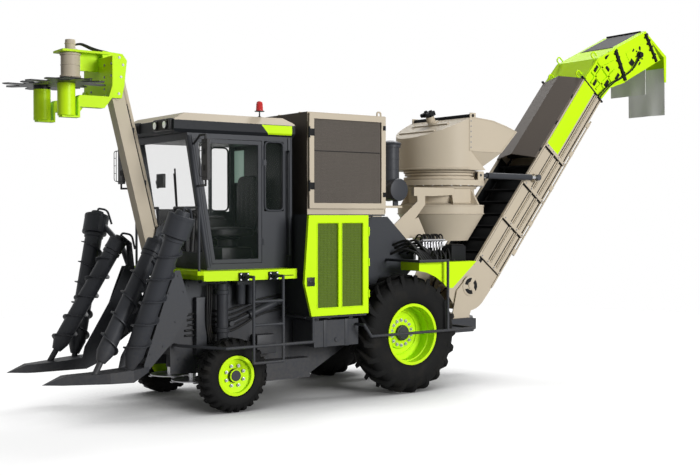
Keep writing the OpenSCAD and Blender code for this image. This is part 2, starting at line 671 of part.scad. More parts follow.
// shaft with two sprockets inside a bend of the chain
module chain_shaft(c) {
  bar_y(c[0], c[1], 60, -elev_in, elev_in);
  both() bar_y(c[0], c[1], 2 * (chain_in * cos(9) - gap), strand_y, strand_y + strand_w);
}
module elevator_chain() color(black) on_elevator() {
  both() chain_strand();
  // flights bolted on the two strands
  rows = 18;
  len_1 = norm(chain_k - chain_b);
  for (i = [0 : rows - 1], s = [-1, 1]) translate([chain_b[0], 0, chain_b[1]]) rotate([0, -chain_1, 0])
    translate([len_1 * (i + 0.3) / rows, 0, s * (chain_out + 31 + gap)])
    cube([8, 2 * elev_half - 60, 62], center = true);
}
module chain_strand() translate([0, strand_y + strand_w, 0]) rotate([90, 0, 0])
  linear_extrude(strand_w) difference() {
    polygon(chain_outline(chain_out));
    polygon(chain_outline(chain_in));
  }

module elevator_cover() color(mesh_grey) on_elevator() {
  h = elev_half;
  translate([2330, 0, 140 + gap]) rotate([90, 0, 90]) linear_extrude(elev_len - 2350)
    polygon([[-h, 0], [-h, 30], [0, 140], [h, 30], [h, 0], [h - 10, 0], [h - 10, 23], [0, 130],
      [10 - h, 23], [10 - h, 0]]);
}

module elevator_bonnet() color(lime) on_elevator() {
  e = elev_len + gap;
  h = elev_half;
  outline = [[e, 140], [e + 450, 120], [e + 840, -69], [head_a, head_d], [head_a - 117, head_d - 571],
    [e + 606, -605], [e + 300, -400], [e, -360]];
  both() slab(outline, h - 12, h);
  chain_shaft(chain_h);
  slab([[e, 140], [e + 450, 120], [e + 840, -69], [head_a, head_d], [head_a - 5, head_d - 11],
    [e + 834, -80], [e + 447, 109], [e, 129]], -elev_in, elev_in);
  slab([[e + 606, -605], [e + 300, -400], [e, -360], [e, -350], [e + 304, -390], [e + 612, -597]],
    -elev_in, elev_in);
}

// the flap hangs on a round bar behind the bonnet's end
flap_pin = [flap_x - 10.1, 0, flap_z - 1.7];
module bin_flap() color(lime) {
  h = elev_half - 22;
  x = flap_x;
  z = flap_z;
  bar_y(flap_pin[0], flap_pin[2], 16, -h, h);
  slab([[x - 13, z + 3], [x - 550, z - 370], [x - 550, z - 810], [x - 538, z - 810], [x - 538, z - 376],
    [x - 7, z - 7]], -h, h);
  for (y = [h - 8, -h]) slab([[x - 13, z + 3], [x - 550, z - 370], [x - 550, z - 810], [x - 510, z - 810],
    [x - 490, z - 400], [x - 16, z - 50]], y, y + 8);
}
module end_curtain() color(rubber_grey) block([flap_x - 538 + gap, 34 - elev_half, flap_z - 1360],
  [flap_x - 528 + gap, elev_half - 34, flap_z - 570]);

module lift_barrels() color(charcoal) both() difference() {
  union() {
    bar_y(barrel_a[0], barrel_a[2], 90, 501, 559);
    bar_y(barrel_a[0], barrel_a[2], 40, 480, 580);
    along(barrel_a, barrel_b) cylinder(d = 56, h = 170);
    along(barrel_a, barrel_b) translate([0, 0, 165]) cylinder(d = 90, h = 895);
  }
  along(barrel_a, barrel_b) translate([0, 0, 190]) cylinder(d = 50 + 2 * gap, h = 1200);
}
module lift_rods() color(steel) both() {
  along(barrel_a, barrel_b) translate([0, 0, 210]) cylinder(d = 50, h = norm(barrel_b - barrel_a) - 240);
  bar_y(barrel_b[0], barrel_b[2], 90, 506, 554);
}

module topper_arm() color(beige) difference() {
  union() {
    along(arm_low, arm_up) translate([-80, -85, 20]) cube([160, 170, topper_len - 40]);
    bar_y(arm_low[0], arm_low[2], 150, -95, 95);
    bar_y(arm_up[0], arm_up[2], 150, -95, 95);
  }
  bar_y(arm_low[0], arm_low[2], 60 + 2 * gap, -200, 200);
  bar_y(arm_up[0], arm_up[2], 60 + 2 * gap, -200, 200);
}
module topper_link() color(beige) difference() {
  union() {
    rod(link_low, link_up, 64);
    bar_y(link_low[0], link_low[2], 84, -60, 60);
    bar_y(link_up[0], link_up[2], 84, -60, 60);
  }
  bar_y(link_low[0], link_low[2], 40 + 2 * gap, -200, 200);
  bar_y(link_up[0], link_up[2], 40 + 2 * gap, -200, 200);
}
module topper_head() color(lime) translate(head_o) {
  both() slab([[40, -5], [195, -5], [262, 43], [280, 60], [280, 540], [31, 525], [-28, 451], [6, 157]],
    105, 125);
  bar_y(head_pin[0], head_pin[2], 60, -115, 115);
  bar_y(head_pin[0] + link_off[0], head_pin[2] + link_off[2], 40, -115, 115);
  block([270, -430, 10], [290, 430, 450]);
  block([200, -150, 500], [780, 150, 525]);
  block([280, -20, 300], [560, 20, 510]);
  translate([630, 0, 210]) cylinder(d = 220, h = 300);
  translate([630, 0, 520]) cylinder(d = 120, h = 120);
  // arms with a shelf under each drum
  both() slab([[272, 100], [272, 15], [316, -61], [397, -166], [690, -166], [690, -290], [900, -290],
    [900, -270], [712, -270], [712, -60], [690, -32], [340, -32], [300, 100]], 330, 450);
}
module star(r, n) linear_extrude(12) union() {
  circle(r = r * 0.55);
  for (i = [0 : n - 1]) rotate(360 * i / n)
    polygon([[0, -60], [r * 0.9, -70], [r * 0.995, -20], [r * 0.9, 60], [0, 60]]);
}
module topper_drum(side, lift) translate([star_x, side * 390, head_o[2]]) {
  translate([0, 0, gap - 270]) cylinder(d = 200, h = 370 + lift - gap);
  translate([0, 0, 95 + lift]) star(star_r, 8);
}
module topper_drum_left() color(charcoal) topper_drum(1, 0);
module topper_drum_right() color(charcoal) topper_drum(-1, 40);
module topper_cutter() color(charcoal) translate(head_o + [630, 0, 0]) {
  translate([0, 0, 180]) cylinder(r = 230, h = 10);
  translate([0, 0, 180]) cylinder(d = 90, h = 30 - gap);
  for (i = [0 : 5]) rotate(60 * i) translate([200, -30, 182]) cube([100, 60, 6]);
}

module divider() difference() {
  union() {
    // inner wall and outer sheet
    slab([[400, 1020], [420, 1150], [600, 1700], [700, 1720], [900, 1300], [1250, 720], [1300, 500],
      [1230, 460], [730, 800]], 540, 556);
    slab([[1000, 560], [730, 830], [450, 1250], [600, 1700], [660, 1700], [780, 1400], [1060, 620],
      [1060, 560]], 752, 764);
    for (p = [[620, 1560], [700, 1050], [960, 700]]) bar_y(p[0], p[1], 50, 545, 758);
    // shoe
    intersection() {
      slab([[2210, 470], [1970, 555], [1640, 562], [1000, 600], [1000, 540], [1230, 445], [1980, 455]],
        400, 900);
      linear_extrude(1000) polygon([[2215, 600], [1900, 520], [1230, 540], [1000, 540], [1000, 764],
        [1230, 860], [1500, 830], [1900, 690]]);
    }
    along(inner_low, inner_up) translate([0, 0, -80]) cylinder(d = 70, h = 160 - gap);
    along(outer_low, outer_up) translate([0, 0, 10]) cylinder(d = 70, h = 110 - gap);
    // scroll heads and their brackets
    along(inner_low, inner_up) translate([0, 0, 1486]) cylinder(d = 220, h = 150);
    slab([[580, 1660], [680, 1690], [690, 1960], [800, 2050], [760, 2110], [620, 2000]], 540, 556);
    along(outer_low, outer_up) translate([0, 0, 1706]) cylinder(d = 310, h = 250);
    tube([[640, 548, 1660], [660, 760, 1960], [770, 1150, 2250]], 70);
  }
  bar_y(divider_pin[0], divider_pin[2], 70 + 2 * gap, 500, 600);
}
module divider_left() color(charcoal) divider();
module divider_right() color(charcoal) mirror([0, 1, 0]) divider();

module scroll_outer() along(outer_low, outer_up) {
  translate([0, 0, 120]) cylinder(d1 = 120, d2 = outer_tube_d, h = 160);
  translate([0, 0, 279]) cylinder(d = outer_tube_d + 2 * flight_h, h = 1700 - 279);
}
module scroll_inner() along(inner_low, inner_up) {
  translate([0, 0, 80]) cylinder(d1 = 110, d2 = inner_tube_d, h = 110);
  translate([0, 0, 189]) cylinder(d = inner_tube_d + 2 * flight_h, h = 1480 - 189);
}
module scroll_outer_left() color(charcoal) scroll_outer();
module scroll_outer_right() color(charcoal) mirror([0, 1, 0]) scroll_outer();
module scroll_inner_left() color(charcoal) scroll_inner();
module scroll_inner_right() color(charcoal) mirror([0, 1, 0]) scroll_inner();

module base_cutter() translate([200, 300, 0]) {
  translate([0, 0, 320]) cylinder(r = 260, h = 12);
  translate([0, 0, 325]) cylinder(d = 90, h = 95 - gap);
  for (i = [0 : 4]) rotate(72 * i) translate([220, -35, 312]) cube([70, 70, 8.5]);
}
module base_cutter_left() color(steel) base_cutter();
module base_cutter_right() color(steel) mirror([0, 1, 0]) base_cutter();

module place() translate([front_axle_x, 0, 0]) children();

place() chassis();
place() rear_axle();
place() engine();
place() engine_bay();
place() cooler_box();
place() side_tanks();
place() cab_platform();
place() guard_rails();
place() cab_frame();
place() cab_roof();
place() cab_glass();
place() cab_interior();
place() mirrors();
place() roof_lamps();
place() beacon();
place() extractor_bowl();
place() air_cleaner();
place() valve_bank();
place() rear_fenders();
place() cab_door();
place() cab_door_glass();
place() engine_door_left();
place() engine_door_right();
place() cooler_door();
place() knuckle_left();
place() knuckle_right();
place() front_tyre_left();
place() front_rim_left();
place() front_tyre_right();
place() front_rim_right();
place() rear_tyre_left();
place() rear_rim_left();
place() rear_tyre_right();
place() rear_rim_right();
place() extractor_hood();
place() extractor_fan();
place() turntable();
place() elevator_frame();
place() elevator_chain();
place() elevator_cover();
place() elevator_bonnet();
place() bin_flap();
place() end_curtain();
place() lift_barrels();
place() lift_rods();
place() topper_arm();
place() topper_link();
place() topper_head();
place() topper_drum_left();
place() topper_drum_right();
place() topper_cutter();
place() divider_left();
place() divider_right();
place() scroll_outer_left();
place() scroll_inner_left();
place() scroll_outer_right();
place() scroll_inner_right();
place() base_cutter_left();
place() base_cutter_right();
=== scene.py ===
import math

import bmesh
import bpy
from mathutils import Matrix, Vector


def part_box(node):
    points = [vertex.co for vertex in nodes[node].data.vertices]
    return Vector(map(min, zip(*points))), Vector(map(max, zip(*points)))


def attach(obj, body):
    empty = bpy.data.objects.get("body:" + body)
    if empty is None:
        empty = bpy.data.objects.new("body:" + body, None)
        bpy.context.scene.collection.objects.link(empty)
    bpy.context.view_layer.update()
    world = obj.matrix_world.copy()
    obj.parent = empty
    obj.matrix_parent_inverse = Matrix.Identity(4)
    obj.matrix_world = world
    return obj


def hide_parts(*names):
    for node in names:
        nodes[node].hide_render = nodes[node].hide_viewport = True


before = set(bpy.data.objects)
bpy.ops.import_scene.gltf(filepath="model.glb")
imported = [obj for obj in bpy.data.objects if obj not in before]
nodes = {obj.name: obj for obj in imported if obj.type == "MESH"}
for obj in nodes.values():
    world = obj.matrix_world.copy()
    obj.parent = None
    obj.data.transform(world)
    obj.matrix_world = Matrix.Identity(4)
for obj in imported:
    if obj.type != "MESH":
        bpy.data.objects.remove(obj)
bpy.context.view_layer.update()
scene = bpy.context.scene
scene.view_settings.view_transform = "Standard"


def middle(node):
    low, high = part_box(node)
    return (low + high) / 2


up = Vector((0, 0, 1))
outward = Vector((0, 1, 0))
axleX = middle("front_rim_left").x  # the front axle, from which most places are measured
slewX = middle("extractor_fan").x
armTop = Vector((middle("topper_cutter").x - 0.63, 0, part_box("topper_cutter")[0].z - 0.18))
liftSpot = Vector((slewX - 0.19, 0, 1.32))  # the elevator's lift pivot
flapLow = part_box("bin_flap")[0]
slopeCos, slopeSin = math.cos(math.radians(51)), math.sin(math.radians(51))

# places that pieces are made in: as built, from the axle, slew axis, arm, pivot or flap, or up the slope
asBuilt = Matrix()
fromAxle, fromSlew, fromArm, fromLift, fromFlap = (Matrix.Translation(spot) for spot in (
    (axleX, 0, 0), (slewX, 0, 0), armTop, liftSpot, (flapLow.x, 0, flapLow.z)))
onSlope = Matrix(((-slopeCos, 0, slopeSin, liftSpot.x), (0, -1, 0, 0),
                  (slopeSin, 0, slopeCos, liftSpot.z), (0, 0, 0, 1)))
sides = {"left": fromAxle, "right": fromAxle @ Matrix.Scale(-1, 4, outward)}  # the right one is mirrored
print("frame loaded, front axle at", round(axleX, 4))


# one node with its settings and inputs, in a shader or geometry tree
def link(tree, kind, sockets, out=0, **settings):
    node = tree.nodes.new(kind)
    for key, value in settings.items():
        setattr(node, key, value)
    for key, value in sockets.items():
        value = getattr(value, "socket", value)
        if isinstance(value, bpy.types.NodeSocket):
            tree.links.new(value, node.inputs[key])
        else:
            node.inputs[key].default_value = value
    return node.outputs[out]


def operator(operation, swapped=False):
    def act(self, other):
        first, second = (other, self) if swapped else (self, other)
        return self.make("ShaderNodeMath", {0: first, 1: second}, operation=operation)
    return act


# shader wiring: values do arithmetic, every other node comes from make()
class Wire:
    def __init__(self, tree, socket):
        self.tree = tree
        self.socket = socket

    def make(self, kind, sockets, out=0, **settings):
        return Wire(self.tree, link(self.tree, kind, sockets, out, **settings))

    __add__, __radd__ = operator("ADD"), operator("ADD", True)
    __sub__, __rsub__ = operator("SUBTRACT"), operator("SUBTRACT", True)
    __mul__, __rmul__ = operator("MULTIPLY"), operator("MULTIPLY", True)
    __gt__, __lt__ = operator("GREATER_THAN"), operator("LESS_THAN")


def noise(spot, scale, detail):
    return spot.make("ShaderNodeTexNoise", {"Vector": spot, "Scale": scale, "Detail": detail})


def ramp(value, low, high):
    return value.make("ShaderNodeMapRange", {"Value": value, "From Min": low, "From Max": high}, clamp=True)


def tint(mask, first, second, **blend):
    return mask.make("ShaderNodeMix", {0: mask, 6: first, 7: second}, 2, data_type="RGBA", **blend)


def apart(spot):
    node = spot.make("ShaderNodeSeparateXYZ", {0: spot}).socket.node
    return [Wire(spot.tree, out) for out in node.outputs]


# rays that should meet a white room: seen straight, mirrored or through glass
def seenRays(spot, mirrorShare):
    direct, mirrored, through = (spot.make("ShaderNodeLightPath", {}, f"Is {kind} Ray")
                                 for kind in ("Camera", "Glossy", "Transmission"))
    return direct + mirrored * mirrorShare + through


def rgb(red, green, blue):
    line = [v / 255 for v in (red, green, blue)]
    return tuple(v / 12.92 if v < 0.04045 else ((v + 0.055) / 1.055) ** 2.4 for v in line) + (1,)


def grey(level):
    return (level, level, level, 1)


def darker(colour, share):
    return tuple(v * share for v in colour[:3]) + (1,)


lime, charcoal, beige = rgb(204, 248, 20), rgb(54, 56, 61), rgb(196, 184, 164)
screenBrown, screenOlive, dustTan = rgb(98, 91, 84), rgb(98, 122, 36), rgb(150, 138, 118)
chrome = (0.62, 0.62, 0.64, 1)


def newFinish(name, build):
    mat = bpy.data.materials.new(name)
    mat.use_nodes = True
    tree = mat.node_tree
    tree.nodes.clear()
    end = tree.nodes.new("ShaderNodeOutputMaterial")
    coord = tree.nodes.new("ShaderNodeTexCoord")
    surface = build(Wire(tree, coord.outputs["Object"]))
    tree.links.new(surface.socket, end.inputs["Surface"])
    return mat


def shader(spot, colour, rough, height=None, bump=0.2, reach=0.002, shine=0.5, **extra):
    sockets = {"Base Color": colour, "Roughness": rough, "Specular IOR Level": shine}
    if height is not None:
        sockets["Normal"] = spot.make("ShaderNodeBump", {"Height": height, "Strength": bump,
                                                         "Distance": reach})
    sockets.update(extra)
    return spot.make("ShaderNodeBsdfPrincipled", sockets)


# sprayed paint: slow colour drift, fine peel, dust that settles low down
def paint(colour, rough, dust, shine, pick=None):
    def build(spot):
        drift, speck, peel = noise(spot, 1.3, 4), noise(spot, 26, 5), noise(spot, 420, 2)
        parts = apart(spot)
        base = pick(spot, *parts) if pick else colour
        deeper = tint(ramp(drift, 0.35, 0.75) * 0.22, base, (0.72, 0.74, 0.76, 1), blend_type="MULTIPLY")
        low = ramp(parts[2], 1.5, 0.1) * ramp(speck * 0.6 + drift * 0.5, 0.42, 0.75) * dust
        worn = rough + (speck - 0.5) * 0.16 + low * 0.5
        return shader(spot, tint(low, deeper, dustTan), worn, peel * 0.35 + speck * 0.65, 0.12, shine=shine)
    return build


# dark band and front, with a lime patch at the rear end of each side
def roofPick(spot, x, y, z):
    edge = x - (z - 3.4) * 0.9
    patch = (edge < axleX - 0.6) * (x > axleX - 0.985) * (z > 3.352) * (z < 3.468)
    dark = ramp((z < 3.475) + (x > axleX + 0.645), 0.2, 0.3)
    return tint(patch, tint(dark, beige, rgb(34, 36, 40)), lime)


# painted shade: the box's front face, turned away from the lamps, is coloured a dark shaded beige
def coolerShadedFrontPick(spot, x, y, z):
    return tint(x > axleX - 1.166, beige, rgb(70, 64, 58))


def coolerDoorPick(spot, x, y, z):
    return tint((y < 0.822) * (y > 0.802), beige, screenBrown)


def engineDoorPick(spot, x, y, z):
    side = y.make("ShaderNodeMath", {0: y}, operation="ABSOLUTE")
    return tint((side < 1.13) * (x < axleX - 1.085) * (x > axleX - 1.785), lime, screenOlive)


def topperPick(spot, x, y, z):
    flat = spot.make("ShaderNodeCombineXYZ", {0: x, 1: y})
    off = spot.make("ShaderNodeVectorMath", {0: flat, 1: (armTop.x + 0.63, 0, 0)}, 1, operation="DISTANCE")
    motor = (off < 0.116) * ramp((z < armTop.z + 0.499) + (z > armTop.z + 0.526), 0.2, 0.3)
    return tint(motor * (z > armTop.z + 0.2), lime, beige)


def drumPick(spot, x, y, z):
    return tint(z < armTop.z + 0.094, rgb(32, 33, 36), lime)


def rubber(colour, rough, dust, shine=0.25):
    def build(spot):
        grain = noise(spot, 160, 4)
        mud = ramp(noise(spot, 5, 4), 0.5, 0.8) * dust
        worn = rough + (grain - 0.5) * 0.2
        return shader(spot, tint(mud, colour, dustTan), worn, grain, 0.35, 0.003, shine)
    return build


def steel(colour, rough):
    def build(spot):
        lines = noise(spot.make("ShaderNodeMapping", {0: spot, 3: (40, 300, 40)}), 2, 3)
        return shader(spot, tint(lines, colour, darker(colour, 0.7)), rough + lines * 0.15, lines, 0.1, 0.001,
                      Metallic=1.0)
    return build


def clear(colour, alpha):
    def build(spot):
        return shader(spot, colour, 0.04 + ramp(noise(spot, 3, 4), 0.5, 0.9) * 0.12, Alpha=alpha)
    return build


# bright rod with a painted eye at its rear end
def liftBuild(spot):
    eye = apart(spot)[0] < liftSpot.x - slopeCos * 2.06 + 0.075
    lines = noise(spot, 60, 3)
    return shader(spot, tint(eye, chrome, charcoal), 0.22 + eye * 0.2 + lines * 0.1, lines, 0.1, 0.001,
                  Metallic=1 - eye)


def lens(colour, glow):
    def build(spot):
        rings = spot.make("ShaderNodeTexWave", {"Vector": spot, "Scale": 30.0, "Distortion": 0.4},
                          wave_type="BANDS", bands_direction="Y")
        return shader(spot, colour, 0.12 + rings * 0.1, rings, 0.25,
                      **{"Emission Color": colour, "Emission Strength": glow})
    return build


def mesh(colour):
    def build(spot):
        weave = noise(spot, 90, 3)
        return shader(spot, tint(ramp(weave, 0.3, 0.7), colour, darker(colour, 0.55)), 0.6, weave, 0.4, 0.003)
    return build


# each finish with the slot of its pieces, if it has any, its shader and the nodes that wear it
finishTable = {
    "charcoalPaint": ("charcoal_paint", paint(charcoal, 0.46, 0.12, 0.22), ""),
    "limePaint": ("lime_paint", paint(lime, 0.45, 0.1, 0.1),
                  "cab_platform rear_fenders front_rim_left front_rim_right rear_rim_left rear_rim_right "
                  "elevator_bonnet bin_flap"),
    "blackPaint": ("black_steel", paint(rgb(26, 27, 29), 0.55, 0.1, 0.1), "elevator_chain valve_bank engine"),
    "beigePaint": ("beige_paint", paint(beige, 0.46, 0.2, 0.15),
                   "extractor_bowl extractor_hood turntable elevator_frame topper_arm topper_link"),
    "roofPaint": (None, paint(beige, 0.46, 0.1, 0.12, roofPick), "cab_roof"),
    # beige paint, with painted shade on the cooler box's front face
    "coolerPaintAndShade": (None, paint(beige, 0.46, 0.1, 0.12, coolerShadedFrontPick), "cooler_box"),
    "coolerDoorPaint": (None, paint(beige, 0.5, 0.1, 0.2, coolerDoorPick), "cooler_door"),
    "engineDoorPaint": (None, paint(lime, 0.45, 0.1, 0.1, engineDoorPick),
                        "engine_door_left engine_door_right"),
    "topperPaint": (None, paint(lime, 0.45, 0.1, 0.1, topperPick), "topper_head"),
    "drumPaint": (None, paint(charcoal, 0.4, 0.1, 0.2, drumPick), "topper_drum_left topper_drum_right"),
    # painted shade: the elevator cover takes a darkened beige, the brownish grey of its forward-facing top in
    # shade
    "coverShadedPaint": (None, paint(rgb(104, 96, 89), 0.5, 0.1, 0.15), "elevator_cover"),
    "tyreRubber": ("tyre", rubber(rgb(17, 17, 17), 0.7, 0.03, 0.14),
                   "front_tyre_left front_tyre_right rear_tyre_left rear_tyre_right"),
    "hoseRubber": ("black_steel", rubber(rgb(20, 20, 21), 0.5, 0.05), ""),
    "curtainRubber": ("grey_rubber", rubber(rgb(232, 232, 230), 0.6, 0.04), "end_curtain"),
    "seatVinyl": ("seat_black", rubber(rgb(30, 30, 32), 0.55, 0.02), ""),
    "darkPlastic": ("black_plastic", rubber(rgb(26, 26, 28), 0.42, 0.03), "mirrors roof_lamps cab_interior"),
    "bareSteel": ("bare_steel", steel(chrome, 0.28), "base_cutter_left base_cutter_right"),
    "dullSteel": ("bare_steel", steel((0.3, 0.3, 0.31, 1), 0.45), ""),
    "liftSteel": (None, liftBuild, "lift_rods"),
    "cabGlass": (None, clear(rgb(62, 76, 69), 0.06), "cab_glass cab_door_glass"),
    # painted light: a pale green pane that glows as if lit from behind
    "paneGlowGlass": ("clear_glass", lens(rgb(140, 166, 152), 0.5), ""),
    "lampGlass": ("clear_glass", lens((0.85, 0.87, 0.85, 1), 0.25), ""),
    "beaconRed": ("red_lens", lens(rgb(190, 30, 28), 0.1), "beacon"),
    "brownScreen": ("screen_grey", mesh(screenBrown), ""),
    "oliveScreen": ("lime_paint", mesh(screenOlive), "")}
finishes = {name: newFinish(name, build) for name, (slot, build, worn) in finishTable.items()}
for node in nodes.values():
    node.data.materials.clear()
    node.data.materials.append(finishes["charcoalPaint"])
for finish, (slot, build, worn) in finishTable.items():
    for name in worn.split():
        nodes[name].data.materials[0] = finishes[finish]
print("finishes made:", len(finishes))


# node trees for what repeats
def newTree(name, inputs):
    tree = bpy.data.node_groups.new(name, "GeometryNodeTree")
    for label, kind in {"Geometry": "Geometry", **inputs, "Finish": "Material"}.items():
        tree.interface.new_socket(label, in_out="INPUT", socket_type="NodeSocket" + kind)
    tree.interface.new_socket("Geometry", in_out="OUTPUT", socket_type="NodeSocketGeometry")
    return tree, tree.nodes.new("NodeGroupInput").outputs


def closeTree(tree, geometry, material):
    real = link(tree, "GeometryNodeRealizeInstances", {0: geometry})
    done = link(tree, "GeometryNodeSetMaterial", {"Geometry": real, "Material": material})
    tree.links.new(done, tree.nodes.new("NodeGroupOutput").inputs[0])
    return tree


# copies of a part turned step by step about the Y axis through a centre
def ringTree():
    tree, given = newTree("ringOfCopies", {"Part": "Object", "Centre": "Vector", "Count": "Int",
                                           "First Angle": "Float"})
    spots = link(tree, "GeometryNodeMeshLine", {"Count": given["Count"], "Start Location": given["Centre"],
                                                "Offset": (0, 0, 0)})
    index = link(tree, "GeometryNodeInputIndex", {})
    share = link(tree, "ShaderNodeMath", {0: index, 1: given["Count"]}, operation="DIVIDE")
    turn = link(tree, "ShaderNodeMath", {0: share, 1: 2 * math.pi, 2: given["First Angle"]},
                operation="MULTIPLY_ADD")
    spin = link(tree, "FunctionNodeEulerToRotation", {0: link(tree, "ShaderNodeCombineXYZ", {"Y": turn})})
    part = link(tree, "GeometryNodeObjectInfo", {"Object": given["Part"]}, 4)
    copies = link(tree, "GeometryNodeInstanceOnPoints", {"Points": spots, "Instance": part, "Rotation": spin})
    return closeTree(tree, copies, given["Finish"])


# six-sided heads on points that carry the way they face
def boltTree():
    tree, given = newTree("boltHeads", {"Across": "Float", "Height": "Float"})
    head = link(tree, "GeometryNodeMeshCylinder", {"Vertices": 6, "Radius": given["Across"],
                                                   "Depth": given["Height"]})
    wide = link(tree, "ShaderNodeMath", {0: given["Across"], 1: 1.35}, operation="MULTIPLY")
    washer = link(tree, "GeometryNodeMeshCylinder", {"Vertices": 12, "Depth": 0.003, "Radius": wide})
    both = tree.nodes.new("GeometryNodeJoinGeometry")
    tree.links.new(head, both.inputs[0])
    tree.links.new(washer, both.inputs[0])
    facing = link(tree, "GeometryNodeInputNamedAttribute", {"Name": "facing"}, data_type="FLOAT_VECTOR")
    spin = link(tree, "FunctionNodeAlignRotationToVector", {"Vector": facing}, axis="Z")
    copies = link(tree, "GeometryNodeInstanceOnPoints", {"Points": given["Geometry"], "Rotation": spin,
                                                         "Instance": both.outputs[0]})
    return closeTree(tree, copies, given["Finish"])


# a ribbon wound round the Z axis
def flightTree():
    tree, given = newTree("scrollFlight", {"Turns": "Float", "Length": "Float", "Radius": "Float",
                                           "Width": "Float", "Thickness": "Float", "Left Handed": "Bool"})
    coil = link(tree, "GeometryNodeCurveSpiral", {
        "Resolution": 40, "Rotations": given["Turns"], "Start Radius": given["Radius"],
        "End Radius": given["Radius"], "Height": given["Length"], "Reverse": given["Left Handed"]})
    upright = link(tree, "GeometryNodeSetCurveNormal", {"Curve": coil}, mode="Z_UP")
    section = link(tree, "GeometryNodeCurvePrimitiveQuadrilateral", {"Width": given["Width"],
                                                                     "Height": given["Thickness"]})
    ribbon = link(tree, "GeometryNodeCurveToMesh", {"Curve": upright, "Profile Curve": section,
                                                    "Fill Caps": True})
    return closeTree(tree, ribbon, given["Finish"])


# woven wire over a rectangle
def screenTree():
    tree, given = newTree("wireScreen", {"Width": "Float", "Height": "Float", "Across Count": "Int",
                                         "Up Count": "Int", "Wire": "Float"})
    grid = link(tree, "GeometryNodeMeshGrid", {"Size X": given["Width"], "Size Y": given["Height"],
                                               "Vertices X": given["Across Count"],
                                               "Vertices Y": given["Up Count"]})
    section = link(tree, "GeometryNodeCurvePrimitiveCircle", {"Resolution": 4, "Radius": given["Wire"]})
    lines = link(tree, "GeometryNodeMeshToCurve", {0: grid})
    wires = link(tree, "GeometryNodeCurveToMesh", {"Curve": lines, "Profile Curve": section})
    return closeTree(tree, wires, given["Finish"])


trees = {"ring": ringTree(), "bolts": boltTree(), "flight": flightTree(), "screen": screenTree()}


# runs a tree and gives back its result as a plain mesh
def grow(tree, values, seed):
    obj = bpy.data.objects.new("grown", seed or bpy.data.meshes.new("grown"))
    scene.collection.objects.link(obj)
    mod = obj.modifiers.new("grow", "NODES")
    mod.node_group = trees[tree]
    for item in trees[tree].interface.items_tree:
        if item.in_out == "INPUT" and item.name in values:
            mod[item.identifier] = values[item.name]
    bpy.context.view_layer.update()
    result = bpy.data.meshes.new_from_object(obj.evaluated_get(bpy.context.evaluated_depsgraph_get()))
    bpy.data.objects.remove(obj)
    return result


def aim(start, way):
    return Matrix.Translation(start) @ Vector(way).to_track_quat("Z", "Y").to_matrix().to_4x4()


def angles(count, shift=0.0):
    return [2 * math.pi * (i + shift) / count for i in range(count)]


# points by x and z, all at one distance from the middle
def flat(y, *points):
    return [(x, y, z) for x, z in points]


# section of a flat ring with broken edges
def band(inner, outer, low, high, edge):
    return [(inner, low), (outer - edge, low), (outer, low + edge), (outer, high - edge),
            (outer - edge, high), (inner, high)]


# rounds the corners of a bent line
def eased(points, bend, steps=6):
    line = [points[0]]
    for before, corner, after in zip(points, points[1:], points[2:]):
        cut = min(bend, (before - corner).length * 0.45, (after - corner).length * 0.45)
        enter = corner + (before - corner).normalized() * cut
        leave = corner + (after - corner).normalized() * cut
        for k in range(steps + 1):
            t = k / steps
            line.append(enter * (1 - t) ** 2 + corner * 2 * t * (1 - t) + leave * t * t)
    return line + [points[-1]]


